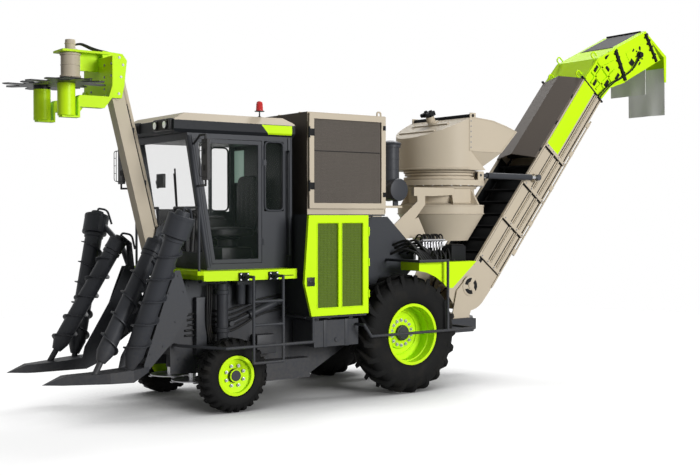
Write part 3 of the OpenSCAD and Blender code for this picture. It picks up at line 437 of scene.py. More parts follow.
# small shapes gathered into one piece, which has a finish, a body and a place
class Piece:
    def __init__(self, name, finish, body="machine", where=fromAxle, smooth=40, stands=(), slot=None):
        self.bm = bmesh.new()
        self.name, self.finish, self.body, self.where = name, finish, body, where
        self.smooth, self.stands = smooth, stands
        self.slot = slot or finishTable[finish][0]

    def box(self, low, high, edge=0.004, spin=Matrix()):
        low, high = Vector(low), Vector(high)
        size = high - low
        made = bmesh.ops.create_cube(self.bm, size=1)["verts"]
        for v in made:
            v.co = Vector(v.co[i] * size[i] for i in range(3))
        edges = list({e for v in made for e in v.link_edges})
        width = min(edge, min(size) * 0.3)
        made = bmesh.ops.bevel(self.bm, geom=edges, offset=width, segments=2, profile=0.6,
                               affect="EDGES")["verts"]
        bmesh.ops.transform(self.bm, matrix=Matrix.Translation((low + high) / 2) @ spin, verts=made)

    # solid with an outline, pushed out by a vector
    def prism(self, points, push):
        first = [self.bm.verts.new(p) for p in points]
        second = [self.bm.verts.new(Vector(p) + Vector(push)) for p in points]
        faces = [self.bm.faces.new(first), self.bm.faces.new(second[::-1])]
        for i in range(len(points)):
            faces.append(self.bm.faces.new((first[i], first[i - 1], second[i - 1], second[i])))
        bmesh.ops.recalc_face_normals(self.bm, faces=faces)

    # turned shape: (radius, height) pairs from the bottom up, round a line from start
    def turned(self, profile, start=(0, 0, 0), way=up, count=32, ring=False):
        rings, faces = [], []
        stand = aim(start, way)
        for r, height in profile:
            circle = [(r * math.cos(a), r * math.sin(a), height) for a in angles(count if r else 1)]
            rings.append([self.bm.verts.new(stand @ Vector(p)) for p in circle])
        for low, high in zip(rings, rings[1:] + (rings[:1] if ring else [])):
            for i in range(count):
                j = (i + 1) % count
                corners = (low[i % len(low)], low[j % len(low)], high[j % len(high)], high[i % len(high)])
                faces.append(self.bm.faces.new(list(dict.fromkeys(corners))))
        if not ring:
            faces += [self.bm.faces.new(circle) for circle in (rings[0], rings[-1]) if len(circle) > 1]
        bmesh.ops.recalc_face_normals(self.bm, faces=faces)

    def rod(self, start, end, radius, count=20):
        way = Vector(end) - Vector(start)
        long, bite = way.length, min(radius * 0.15, way.length * 0.3)
        line = [(radius - bite, 0), (radius, bite), (radius, long - bite), (radius - bite, long)]
        self.turned(line, start, way, count)

    def tube(self, points, radius, bend=0.06, count=12, ease=True):
        line = [Vector(p) for p in points]
        line = eased(line, bend) if ease else line
        rings, side = [], None
        for i, p in enumerate(line):
            ahead = (line[min(i + 1, len(line) - 1)] - line[max(i - 1, 0)]).normalized()
            side = side or ahead.orthogonal().normalized()
            side = (side - ahead * side.dot(ahead)).normalized()
            other = ahead.cross(side)
            rings.append([self.bm.verts.new(p + (side * math.cos(a) + other * math.sin(a)) * radius)
                          for a in angles(count)])
        faces = [self.bm.faces.new(rings[0]), self.bm.faces.new(rings[-1])]
        for low, high in zip(rings, rings[1:]):
            for k in range(count):
                faces.append(self.bm.faces.new((low[k - 1], low[k], high[k], high[k - 1])))
        bmesh.ops.recalc_face_normals(self.bm, faces=faces)

    def grown(self, tree, values, matrix=Matrix(), seed=None):
        data = grow(tree, {**values, "Finish": finishes[self.finish]}, seed)
        data.transform(matrix)
        self.bm.from_mesh(data)
        bpy.data.meshes.remove(data)

    def bolts(self, points, way, across, height):
        data = bpy.data.meshes.new("spots")
        data.from_pydata([tuple(p) for p in points], [], [])
        facing = data.attributes.new("facing", "FLOAT_VECTOR", "POINT")
        facing.data.foreach_set("vector", [*way] * len(points))
        self.grown("bolts", {"Across": across, "Height": height}, seed=data)

    # makes what is there once more on the other side
    def mirror(self):
        bm = self.bm
        made = bmesh.ops.duplicate(bm, geom=bm.verts[:] + bm.edges[:] + bm.faces[:])["geom"]
        bmesh.ops.scale(bm, vec=(1, -1, 1), verts=[g for g in made if isinstance(g, bmesh.types.BMVert)])
        bmesh.ops.reverse_faces(bm, faces=[g for g in made if isinstance(g, bmesh.types.BMFace)])
        return self

    def done(self):
        bmesh.ops.transform(self.bm, matrix=self.where, verts=self.bm.verts)
        if self.where.is_negative:
            bmesh.ops.reverse_faces(self.bm, faces=self.bm.faces)
        data = bpy.data.meshes.new(self.name)
        self.bm.to_mesh(data)
        self.bm.free()
        obj = bpy.data.objects.new(self.name, data)
        scene.collection.objects.link(obj)
        data.materials.clear()
        data.materials.append(finishes[self.finish])
        if self.smooth:
            data.polygons.foreach_set("use_smooth", [True] * len(data.polygons))
            data.set_sharp_from_angle(angle=math.radians(self.smooth))
        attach(obj, self.body)
        if self.stands:
            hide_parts(*self.stands)
        return obj


# camera, lamps and floor
camera = {"spot": (6.41, 12.31, 2.35), "yaw": 35.6, "pitch": -1.2, "focal": 1088 / 700 * 36}
cam = bpy.data.objects.new("photoCamera", bpy.data.cameras.new("photoCamera"))
scene.collection.objects.link(cam)
cam.data.sensor_width = 36
cam.data.lens = camera["focal"]
cam.data.clip_end = 200
yaw, pitch = math.radians(camera["yaw"]), math.radians(camera["pitch"])
ahead = Vector((-math.sin(yaw) * math.cos(pitch), -math.cos(yaw) * math.cos(pitch), math.sin(pitch)))
cam.location = fromAxle @ Vector(camera["spot"])
cam.rotation_mode = "QUATERNION"
cam.rotation_quaternion = ahead.to_track_quat("-Z", "Y")
scene.camera = cam

lamps = {"sideLamp": ((-7, 27, 7.5), 10, 6600), "topLamp": ((-16, -8, 24), 6, 4700),
         "frontLamp": ((14, 3, 6), 7, 70), "backLamp": ((-12, -11, 9), 7, 300)}  # spot, size and power
lampTarget = Vector((-2.0, 0, 1.6))
for name, (spot, size, power) in lamps.items():
    data = bpy.data.lights.new(name, "AREA")
    data.energy = power
    data.size = size
    obj = bpy.data.objects.new(name, data)
    scene.collection.objects.link(obj)
    obj.location = fromAxle @ Vector(spot)
    obj.rotation_mode = "QUATERNION"
    obj.rotation_quaternion = (lampTarget - Vector(spot)).to_track_quat("-Z", "Y")

world = bpy.data.worlds.new("paleRoom")
scene.world = world
world.use_nodes = True
room = world.node_tree
room.nodes.clear()
seen = seenRays(Wire(room, None), 0.75)
level = seen.make("ShaderNodeMath", {0: seen, 1: 0.82, 2: 0.18}, operation="MULTIPLY_ADD", use_clamp=True)
sky = seen.make("ShaderNodeBackground", {"Color": grey(1), "Strength": level})
room.links.new(sky.socket, room.nodes.new("ShaderNodeOutputWorld").inputs["Surface"])


# pale ground that darkens under the machine and fades out far from it
def floorBuild(spot):
    bare = spot.make("ShaderNodeAmbientOcclusion", {"Distance": 2.6}, 1, samples=12)
    tone = tint(ramp(bare, 0.3, 0.8), grey(0.01), grey(1))
    glow = spot.make("ShaderNodeEmission", {"Color": tone, "Strength": seenRays(spot, 0.5) * 0.76})
    lit = spot.make("ShaderNodeAddShader", {0: shader(spot, grey(0.36), 0.9), 1: glow})
    away = spot.make("ShaderNodeVectorMath", {0: spot}, 1, operation="LENGTH")
    gone = spot.make("ShaderNodeBsdfTransparent", {})
    return spot.make("ShaderNodeMixShader", {0: ramp(away, 8, 13), 1: lit, 2: gone})


bm = bmesh.new()
bmesh.ops.create_grid(bm, x_segments=2, y_segments=2, size=60)
floor = bpy.data.objects.new("floor", bpy.data.meshes.new("floor"))
bm.to_mesh(floor.data)
bm.free()
scene.collection.objects.link(floor)
floor.data.materials.append(newFinish("paleFloor", floorBuild))
print("camera, lamps and floor set")

# wheels: a round carcass with lugs in a ring, a dark cap, nuts and, at the rear, a flange
wheels = {
    "front": {"radius": 0.44, "width": 0.28, "rim": 0.24, "seat": 0.124, "lug": 0.022, "count": 26,
              "sweep": 0.07, "thick": 0.058, "reach": 0.128, "drop": 0.05, "out": 0.92, "cap": 0.083,
              "capBase": 0.05, "capTop": 0.117, "nuts": 8, "pitch": 0.125, "nutSeat": 0.078, "across": 0.015,
              "flange": 0.0},
    "rear": {"radius": 0.78, "width": 0.47, "rim": 0.405, "seat": 0.211, "lug": 0.052, "count": 21,
             "sweep": 0.24, "thick": 0.066, "reach": 0.222, "drop": 0.1, "out": 0.94, "cap": 0.104,
             "capBase": -0.04, "capTop": 0.02, "nuts": 14, "pitch": 0.168, "nutSeat": -0.043, "across": 0.017,
             "flange": 0.215}}
ways = {"left": 1, "right": -1}


def carcassLine(w):
    r, half, rim, seat = w["radius"] - w["lug"], w["width"] / 2, w["rim"], w["seat"]
    wall = ((0.1, 0.012), (0.3, 0.002), (0.5, 0.001), (0.7, 0.006), (0.86, 0.022), (0.96, 0.055))
    line = [(rim - 0.022, seat - 0.03), (rim + 0.004, seat - 0.014)]
    line += [(rim + share * (r - rim), half - inset) for share, inset in wall]
    line += [(r, half - 0.1), (r + 0.004, 0.0)]
    return (line + [(a, -b) for a, b in line[-2::-1]])[::-1]


def lugBar(w, side):
    bm, rows, steps = bmesh.new(), [], 9
    for k in range(steps + 1):
        s = k / steps
        top = w["radius"] - w["drop"] * max(0.0, (s - 0.78) / 0.22) ** 1.6
        wide = w["thick"] / 2 * (1 - 0.12 * s)
        row = [(top - w["lug"] - 0.02, wide * 1.25), (top - 0.008, wide), (top, wide * 0.82)]
        ring = []
        for r, half in row + [(r, -half) for r, half in row[::-1]]:
            a = w["sweep"] * s ** 0.85 + half / r
            flare = 0.012 if r < top - 0.02 and k == steps else 0
            out = -0.018 + s * (w["reach"] + 0.018) + flare
            ring.append(bm.verts.new((r * math.sin(a), side * out, r * math.cos(a))))
        rows.append(ring)
    for low, high in zip(rows, rows[1:]):
        for i in range(6):
            bm.faces.new((low[i - 1], low[i], high[i], high[i - 1]))
    bm.faces.new(rows[0])
    bm.faces.new(rows[-1])
    bmesh.ops.recalc_face_normals(bm, faces=bm.faces)
    part = bpy.data.objects.new("lug", bpy.data.meshes.new("lug"))
    bm.to_mesh(part.data)
    bm.free()
    scene.collection.objects.link(part)
    return part


corners = [(axle, side) for axle in wheels for side in ways]


def wheelSpot(axle, side):
    w = wheels[axle]
    return w, Vector((middle(f"{axle}_rim_{side}").x, ways[side] * w["out"], w["radius"]))


for axle, side in corners:
    w, centre = wheelSpot(axle, side)
    tread = Piece(f"{axle}_tyre_tread_{side}", "tyreRubber", f"{axle}_wheel_{side}", asBuilt, 35,
                  [f"{axle}_tyre_{side}"])
    tread.turned(carcassLine(w), centre, outward, 96, True)
    for half, angle in ((1, 0.0), (-1, math.pi / w["count"])):
        part = lugBar(w, half)
        tread.grown("ring", {"Part": part, "Centre": tuple(centre), "Count": w["count"],
                             "First Angle": angle})
        bpy.data.objects.remove(part)
    tread.done()
for axle, side in corners:
    w, centre = wheelSpot(axle, side)
    body, out = f"{axle}_wheel_{side}", outward * ways[side]
    cap = Piece(f"{axle}_hub_cap_{side}", "charcoalPaint", body, asBuilt)
    r, top = w["cap"], w["capTop"] - w["capBase"]
    cap.turned([(r, 0), (r, top * 0.55), (r * 0.93, top * 0.8), (r * 0.8, top * 0.86), (r * 0.74, top),
                (0, top)], centre + out * w["capBase"], out, 40)
    cap.done()
    nuts = Piece(f"{axle}_wheel_nuts_{side}", "bareSteel", body, asBuilt, 30)
    seat = centre + out * (w["nutSeat"] + 0.008)
    spots = [seat + Vector((math.cos(a), 0, math.sin(a))) * w["pitch"] for a in angles(w["nuts"], 0.5)]
    nuts.bolts(spots, out, w["across"], 0.026)
    for spot in spots:
        nuts.rod(spot, spot + out * 0.03, w["across"] * 0.5, 10)
    nuts.done()
    if w["flange"]:
        flange = Piece(f"{axle}_hub_flange_{side}", "limePaint", body, asBuilt)
        r = w["flange"]
        flange.turned([(r, 0), (r, 0.012), (r - 0.012, 0.022), (0.112, 0.024), (0.108, 0.034), (0, 0.034)],
                      centre - out * 0.067, out, 56)
        flange.turned([(0.369, 0.03), (0.357, 0.034), (0.352, 0.06), (0.357, 0.086), (0.369, 0.09)],
                      centre, out, 72, True)
        flange.turned([(0.304, -0.08), (0.3, -0.06), (0.288, -0.054), (0.276, -0.06), (0.272, -0.08)],
                      centre, out, 72, True)
        flange.done()
print("wheels made")

# scrolls: a tube with a cone foot and a wound flight
scrolls = {"outer": {"low": (1.3, 0.8, 0.5), "high": (0.8, 1.22, 2.35), "tube": 0.11, "foot": 0.12,
                     "cone": 0.28, "top": 1.70, "left": True, "head": 0.158, "start": 1.706, "deep": 0.25},
           "inner": {"low": (1.6, 0.7, 0.62), "high": (0.82, 0.55, 2.0), "tube": 0.098, "foot": 0.08,
                     "cone": 0.19, "top": 1.48, "left": False, "head": 0.113, "start": 1.486, "deep": 0.15}}
flight = {"rise": 0.27, "height": 0.037, "thick": 0.012}


def scrollLine(s, way):
    low, high = (Vector((x, y * way, z)) for x, y, z in (s["low"], s["high"]))
    return low, high - low


for kind, s in scrolls.items():
    for side, way in ways.items():
        low, line = scrollLine(s, way)
        r, top = s["tube"], s["top"]
        scroll = Piece(f"{kind}_scroll_{side}", "charcoalPaint", f"scroll_{kind}_{side}", fromAxle, 35,
                       [f"scroll_{kind}_{side}"])
        scroll.turned([(0.055, s["foot"]), (r, s["cone"]), (r, top - 0.05), (r + 0.012, top - 0.045),
                       (r + 0.012, top - 0.004), (r, top)], low, line, 40)
        span = top - 0.1 - s["cone"] + 0.03
        scroll.grown("flight", {"Turns": span / flight["rise"], "Length": span,
                                "Radius": r + flight["height"] / 2 - 0.002, "Width": flight["height"] + 0.004,
                                "Thickness": flight["thick"], "Left Handed": s["left"] == (way > 0)},
                     aim(low, line) @ Matrix.Translation((0, 0, s["cone"] - 0.03)))
        scroll.done()
print("scrolls made")

# cab: lamps, beacon, window trim, wiper, mirrors
cab = {"lampY": (0.314, 0.571), "lampX": 0.703, "lampZ": 3.42, "lampR": 0.045, "deck": 1.741}
lenses = Piece("lamp_lenses", "lampGlass")
pods = Piece("lamp_pods", "darkPlastic")
r = cab["lampR"]
for y in cab["lampY"]:
    spot = (cab["lampX"], y, cab["lampZ"])
    lenses.turned([(r, 0), (r, 0.003), (r * 0.7, 0.009), (0, 0.012)], spot, (1, 0, 0), 28)
    pods.turned([(r + 0.016, -0.03), (r + 0.014, 0.002), (r + 0.006, 0.006), (r, 0.004), (r, -0.01)], spot,
                (1, 0, 0), 28, True)
pods.box((0.60, 0.205, 3.352), (0.684, 0.68, 3.497), 0.03)  # rounded pod round a pair of lamps
lenses.mirror().done()
pods.mirror().done()

beacon = {"spot": (-0.58, 0.61, 3.571), "lift": 0.077, "dome": 0.121}
lift, dome = beacon["lift"], beacon["dome"]
line = [(0.046, lift)]
for i in range(5):  # ribbed lens
    z = lift + dome * 0.8 * (i + 0.5) / 5
    line += [(0.047 - 0.001 * i, z - 0.004), (0.043 - 0.001 * i, z + 0.004)]
line += [(0.036, lift + dome * 0.9), (0.018, lift + dome), (0, lift + dome)]
p = Piece("beacon_lens", "beaconRed", stands=["beacon"])
p.turned(line, beacon["spot"])
p.done()
p = Piece("beacon_stalk", "darkPlastic")
p.turned([(0.024, 0), (0.024, 0.006), (0.01, 0.012), (0.008, lift - 0.012), (0.062, lift - 0.008),
          (0.062, lift), (0, lift)], beacon["spot"], up, 28)
p.done()


def pillarX(z):
    return 0.205 + 0.265 * (z - 1.69) / 1.64


p = Piece("cab_trim", "charcoalPaint")
p.tube(flat(0.706, (-0.598, 2.80), (-0.598, 3.262), (-0.867, 3.262), (-0.867, 2.408), (-0.598, 2.408),
            (-0.598, 2.80)), 0.012, 0.07)
p.tube([(pillarX(z) - 0.02, 0.698, z) for z in (1.72, 3.30)], 0.034, count=16)
p.box((-0.985, 0.696, 1.71), (-0.935, 0.716, 3.32), 0.008)
p.mirror().done()
p = Piece("wiper_and_cages", "darkPlastic")
base, tip = Vector((pillarX(1.98) + 0.012, 0.06, 1.98)), Vector((pillarX(2.86) + 0.012, 0.22, 2.86))
p.tube([base, base.lerp(tip, 0.55), tip], 0.007, count=8)
blade = [base.lerp(tip, 0.42) + Vector((-0.006, 0.012, 0)), tip + Vector((-0.004, 0.02, 0.06))]
p.tube(blade, 0.011, count=8)
p.rod(base + Vector((-0.06, 0, 0)), base + Vector((0.02, 0, 0)), 0.022)
mirrorSpots = ((0.385, 1.0), (0.5, -1.13))
for x, y in mirrorSpots:  # wire cage round each mirror, and its clamps
    for out in (0.06, 0.09):
        p.tube([(x + 0.02, y * 1.03, 2.79), (x + out, y * 1.02, 2.80), (x + out, y * 1.02, 3.19),
                (x + 0.02, y * 1.03, 3.20)], 0.005, 0.04, 8)
    for z in (2.90, 3.0, 3.1):
        p.tube([(x + 0.06, y * 1.024, z), (x + 0.09, y * 1.02, z)], 0.004, count=6)
    for z in (2.87, 3.06):
        p.rod((x, y * 0.985, z), (x, y * 0.985, z + 0.07), 0.026)
p.done()
p = Piece("mirror_glass", "bareSteel")
for x, y in mirrorSpots:
    p.box((x - 0.033, y - 0.058, 2.775), (x - 0.0245, y + 0.058, 3.225), 0.003)
p.done()

# dark lining of the back wall, ceiling, floor and far door, partly a real liner and partly painted shade, as
# it covers the rear window and the lower far door glass so the cab inside looks shaded; a pane in the rear
# corner that glows, painted light from a window behind it; and a monitor on its arm
p = Piece("cab_lining", "darkPlastic")
p.box((-0.947, -0.646, 1.745), (-0.942, 0.646, 3.27), 0.002)
p.box((-0.94, -0.645, 3.272), (0.38, 0.645, 3.278), 0.002)
p.box((-0.94, -0.645, 1.7415), (0.12, 0.645, 1.748), 0.002)
p.prism(flat(-0.658, (-0.55, 1.77), (pillarX(1.77) - 0.09, 1.77), (pillarX(2.43) - 0.09, 2.43),
             (-0.55, 2.43)), (0, 0.006, 0))
p.box((0.23, -0.57, 2.7), (0.265, -0.36, 2.88), 0.012)
p.tube([(0.25, -0.56, 2.79), (0.24, -0.62, 2.79), (0.2, -0.652, 2.7)], 0.012)
p.done()
p = Piece("rear_corner_pane", "paneGlowGlass")
p.box((-0.9415, -0.648, 2.79), (-0.934, -0.40, 3.22), 0.02)
p.done()

# seat, console, steering wheel; each pad with its corners, and the number of its thin direction
pads = {"cushion": ((-0.74, -0.26, 2.07), (-0.18, 0.26, 2.2), 2),
        "back": ((-0.86, -0.25, 2.14), (-0.72, 0.25, 2.86), 0)}
padCrown = 0.14
for label, (low, high, thin) in pads.items():
    pad = Piece(f"seat_{label}", "seatVinyl", smooth=60)
    low, high = Vector(low), Vector(high)
    bmesh.ops.create_cube(pad.bm, size=2)
    bmesh.ops.subdivide_edges(pad.bm, edges=pad.bm.edges, cuts=15, use_grid_fill=True)
    first, second = (i for i in range(3) if i != thin)
    for v in pad.bm.verts:
        spot = v.co * max(abs(c) for c in v.co) / sum(abs(c) ** 6 for c in v.co) ** (1 / 6)
        bulge = (1 - spot[first] ** 2) * (1 - spot[second] ** 2)
        seam = math.exp(-((abs(spot.y) - 0.52) / 0.05) ** 2) + 0.6 * math.exp(-(spot[first] / 0.05) ** 2)
        spot[thin] *= 0.86 + padCrown * bulge - 0.1 * seam * (0.3 + bulge)
        v.co = (low + high) / 2 + spot * (high - low) / 2
    pad.done()
p = Piece("cab_controls", "darkPlastic", stands=["cab_interior"], slot="seat_black")
deck = cab["deck"]
p.box((-0.70, -0.22, deck), (-0.26, 0.22, deck + 0.2), 0.02)
p.turned([(0.16, 0.2), (0.13, 0.22), (0.13, 0.29), (0.18, 0.325), (0, 0.325)], (-0.46, 0, deck), up, 24)
p.box((-0.64, -0.48, deck), (-0.02, -0.30, deck + 0.56), 0.03)
p.box((-0.60, -0.47, deck + 0.55), (-0.10, -0.31, deck + 0.6), 0.02)
for i in range(4):  # levers
    p.tube([(-0.16 - 0.05 * i, -0.39, deck + 0.58), (-0.15 - 0.05 * i, -0.38, deck + 0.68)], 0.007)
p.turned([(0.09, 0), (0.05, 0.03), (0.034, 0.1), (0.034, 0.62)], (0.06, 0, deck), (-0.04, 0, 0.6), 20)
hub = Vector((0.02, 0, deck + 0.625))
wheel = [hub + Vector((0.18 * math.cos(a), 0.18 * math.sin(a), 0.05 * math.cos(a))) for a in angles(32) + [0]]
p.tube(wheel, 0.014, ease=False)
for i in (0, 10, 21):
    p.tube([hub, hub.lerp(wheel[i], 0.96)], 0.011)
p.rod(hub - up * 0.03, hub + up * 0.025, 0.045)
p.box((-0.42, -0.4, 2.16), (-0.14, -0.33, 2.22), 0.02)
p.box((0.18, -0.45, 2.02), (0.22, -0.25, 2.2), 0.015)
p.done()
print("cab made")

# platform: ladder brackets, beam slot and bolts
ladderX = (-0.12, -0.53)
p = Piece("ladder_brackets", "blackPaint")
for x in ladderX:
    p.box((x - 0.065, 1.0, 1.565), (x + 0.065, 1.028, 1.665), 0.006)
    p.box((x - 0.04, 1.02, 1.585), (x + 0.04, 1.06, 1.645), 0.006)
p.box((-0.83, 0.999, 1.607), (-0.66, 1.0025, 1.617), 0.001)
for y in (0.88, -0.96):
    p.box((0.36, y, 1.56), (0.42, y + 0.08, 1.575))
p.done()
p = Piece("ladder_bolts", "bareSteel")
spots = [(x + dx, 1.031, z) for x in ladderX for dx in (-0.048, 0.048) for z in (1.583, 1.647)]
p.bolts(spots, outward, 0.008, 0.008)
p.done()

# engine doors: screens, latch, hinges and pressed edges
upright = Matrix.Rotation(math.pi / 2, 4, "X")
windows = ((-1.40, -1.09), (-1.778, -1.46))
for side, where in sides.items():
    body = f"engine_door_{side}"
    p = Piece(f"engine_screen_{side}", "oliveScreen", body, where, 0)
    for x0, x1 in windows:
        p.grown("screen", {"Width": x1 - x0, "Height": 1.05, "Across Count": 16, "Up Count": 53,
                           "Wire": 0.0022}, Matrix.Translation(((x0 + x1) / 2, 1.125, 1.725)) @ upright)
    p.done()
    p = Piece(f"engine_latch_{side}", "darkPlastic", body, where)
    p.box((-1.04, 1.149, 1.475), (-0.93, 1.162, 1.585), 0.008)
    p.box((-1.02, 1.16, 1.515), (-0.95, 1.172, 1.545))
    p.done()
    p = Piece(f"engine_door_trim_{side}", "limePaint", body, where)
    for z in (1.35, 1.75, 2.15):
        p.rod((-1.874, 1.154, z - 0.05), (-1.874, 1.154, z + 0.05), 0.011)
    for x0, x1 in windows:
        x0, x1 = x0 - 0.01, x1 + 0.01
        p.tube(flat(1.1505, (x0, 1.7), (x0, 2.26), (x1, 2.26), (x1, 1.19), (x0, 1.19), (x0, 1.7)), 0.006,
               0.02, 8)
    p.done()

# cooler: screen and hinges of its door, folded seams, lifting eyes and ribs of the box
p = Piece("cooler_screen", "brownScreen", "cooler_door", fromAxle, 0)
p.grown("screen", {"Width": 1.025, "Height": 1.065, "Across Count": 58, "Up Count": 60, "Wire": 0.0018},
        Matrix.Translation((-1.78, 0.8165, 3.04)) @ upright)
p.done()
p = Piece("cooler_hinges", "blackPaint", "cooler_door")
p.box((-2.30, 0.812, 3.165), (-1.26, 0.822, 3.174), 0.001)
for z in (2.72, 3.4):
    p.rod((-1.168, 0.845, z - 0.07), (-1.168, 0.845, z + 0.07), 0.013)
    p.box((-1.25, 0.838, z - 0.045), (-1.17, 0.846, z + 0.045), 0.003)
for z in (2.62, 3.5):
    p.box((-2.375, 0.838, z - 0.03), (-2.34, 0.858, z + 0.03))
p.done()
p = Piece("cooler_trim", "beigePaint")
p.box((-2.41, 0.794, 2.37), (-2.395, 0.806, 3.655), 0.003)
p.tube(flat(0.72, (-2.39, 3.645), (-2.39, 3.72), (-2.33, 3.72), (-2.33, 3.645)), 0.012, 0.03)
p.mirror()
p.box((-2.30, -0.7, 3.655), (-1.24, 0.7, 3.668))
for y in (-0.5, 0, 0.5):
    p.box((-2.3, y - 0.02, 3.66), (-1.24, y + 0.02, 3.682), 0.005)
p.done()
print("doors and screens made")

# extractor: rings, gussets, hood seam, ridge bar and motor
extractor = {"fan": 0.492, "hood": 0.66, "gussets": 8, "bolts": 28, "boltCircle": 0.608, "tilt": 0.421}
p = Piece("extractor_rings", "beigePaint", where=fromSlew)
for z0, z1, r in ((2.868, 2.905, 0.545), (2.925, 2.955, 0.532), (2.965, 2.995, 0.548), (2.735, 2.775, 0.525)):
    p.turned(band(extractor["fan"] - 0.004, r, z0, z1, 0.004), count=72, ring=True)
for a in angles(extractor["gussets"], 0.5):
    ray, side = Vector((math.cos(a), math.sin(a), 0)), Vector((-math.sin(a), math.cos(a), 0)) * 0.008
    p.prism([ray * r + up * z - side / 2 for r, z in ((0.488, 2.74), (0.488, 2.532), (0.612, 2.497))], side)
p.turned([(0.628, 2.478), (0.642, 2.482), (0.642, 2.494), (0.62, 2.5)], count=72, ring=True)
p.turned([(0.628, 2.362), (0.642, 2.366), (0.642, 2.378), (0.628, 2.382)], count=72, ring=True)
p.done()
p = Piece("flange_bolts", "bareSteel", where=fromSlew, smooth=30)
r = extractor["boltCircle"]
p.bolts([(r * math.cos(a), r * math.sin(a), 2.7765) for a in angles(extractor["bolts"])], -up, 0.011, 0.012)
p.done()
p = Piece("hood_trim", "beigePaint", "extractor_hood", fromSlew)
p.box((-0.03, 0.658, 3.27), (0.03, 0.667, 3.735), 0.003)
p.box((-0.585, 0.658, 3.262), (-0.03, 0.667, 3.284), 0.003)
p.prism(flat(0.658, (-0.602, 3.262), (-0.905, 3.573), (-0.88, 3.576), (-0.577, 3.266)), (0, 0.009, 0))
p.prism(flat(0.658, (-0.03, 3.735), (-0.115, 3.735), (-0.425, 3.707), (-0.685, 3.64), (-0.9, 3.571),
             (-0.9, 3.582), (-0.685, 3.655), (-0.425, 3.722), (-0.115, 3.75), (-0.03, 3.75)), (0, 0.008, 0))
p.box((-0.1, 0.646, 3.70), (0.012, 0.658, 3.815), 0.003)  # ear that holds the ridge bar
p.mirror()
r = extractor["hood"]
rim = [(r * math.cos(0.05 * i), r * math.sin(0.05 * i), 3.016) for i in range(-31, 32)]
p.tube(rim, 0.013, count=8, ease=False)
tilt = Matrix.Rotation(extractor["tilt"], 4, "Y")
for x in (0.2, 0.45):  # ribs over the hood's top
    z = 3.75 - x * 0.448
    p.box((x - 0.02, -0.4, z - 0.008), (x + 0.02, 0.4, z + 0.016), 0.004, tilt)
motorFoot, slope = Vector((0.1, -0.08, 3.705)), Vector((0.409, 0, 0.912))
p.turned([(0.1, -0.01), (0.1, 0.012), (0.062, 0.014), (0.062, 0.105), (0.05, 0.11), (0, 0.11)], motorFoot,
         slope, 36)
p.done()
p = Piece("hood_motor", "blackPaint", "extractor_hood", fromSlew)
p.rod((-0.043, 0.65, 3.775), (-0.043, 0.664, 3.775), 0.024)
p.mirror()
p.box((-0.068, -0.65, 3.749), (-0.018, 0.65, 3.80), 0.005)
head, half = motorFoot + slope * 0.145, Vector((0.05, 0.095, 0.036))
p.box(head - half, head + half, 0.012, tilt)
for y in (0.055, -0.055):
    spot = head + outward * y
    p.rod(spot + Vector((0.03, 0, 0)), spot + Vector((0.1, 0, -0.03)), 0.03)
    p.rod(spot, spot + slope * 0.055, 0.026)
p.done()
p = Piece("hood_bolts", "dullSteel", "extractor_hood", fromSlew, 30)
p.bolts([(0, 0.669, 3.32 + 0.075 * i) for i in range(6)], outward, 0.008, 0.008)
p.mirror().done()
print("extractor made")

# elevator: channels, ribs, panels and rails, made along the slope and then laid on it
elevator = {"half": 0.42, "ribs": (0.49, 1.205, 1.88, 2.63), "tabs": (0.95, 1.5, 2.2, 2.9, 3.5)}
h = elevator["half"]


# a box by its spans along the slope, out from the frame's side, and off the floor
def plate(piece, a0, a1, y0, y1, d0, d1, edge=0.004):
    piece.box((a0, h + y0, d0), (a1, h + y1, d1), edge)


p = Piece("trough_liner", "blackPaint", "elevator", onSlope)
plate(p, 0.3, 2.4, -0.016, -0.0125, -0.05, 0.12, 0.001)
p.mirror()
p.box((0.3, 0.008 - h, -0.0605), (2.4, h - 0.008, -0.0565), 0.001, Matrix.Rotation(math.radians(1.2), 4, "Y"))
p.done()
beam = Piece("elevator_channels", "beigePaint", "elevator", onSlope)
panels = Piece("elevator_panels", "limePaint", "elevator", onSlope)
# black fittings, together with dark strips that are painted shadow along ribs and rails
black = Piece("elevator_fittings", "blackPaint", "elevator", onSlope)
bolts = Piece("elevator_bolts", "dullSteel", "elevator", asBuilt, 30)
for d, end in ((-0.1, 2.61), (-0.25, 3.975)):  # angle bars
    plate(beam, 0.51, end, -0.002, 0.032, d - 0.004, d + 0.01, 0.002)
    plate(beam, 0.51, end, -0.002, 0.008, d - 0.03, d + 0.03, 0.002)
    # painted shadow: dark strips along each angle bar's lower and upper edges
    plate(black, 0.52, end, -0.001, 0.01, d - 0.026, d - 0.012, 0.001)
    plate(black, 0.52, end, -0.001, 0.004, d + 0.031, d + 0.042, 0.001)
plate(beam, 0.30, 3.975, -0.02, 0.024, 0.122, 0.146)
plate(beam, 0.24, 3.975, -0.02, 0.02, -0.374, -0.352)
spots = []
for a in elevator["ribs"]:
    proud = 0.026 if a < 0.6 else 0.04
    plate(beam, a - 0.026, a + 0.026, -0.002, proud, -0.372, 0.14)
    # painted shade: a dark strip along the forward side of each rib
    plate(black, a - 0.036, a - 0.027, -0.001, proud - 0.008, -0.35, 0.12, 0.001)
    spots += [onSlope @ Vector((a, h + proud + 0.003, d)) for d in (-0.34, -0.2, -0.05, 0.09)]
bolts.bolts(spots, -outward, 0.009, 0.009)
for a in elevator["tabs"]:
    plate(beam, a - 0.045, a + 0.045, -0.035, -0.012, -0.455, -0.355)
beam.tube([(a, h - 0.024, -0.44) for a in (0.9, 3.6)], 0.014)
plate(panels, 2.645, 3.975, 0.015, 0.024, -0.165, 0.118)
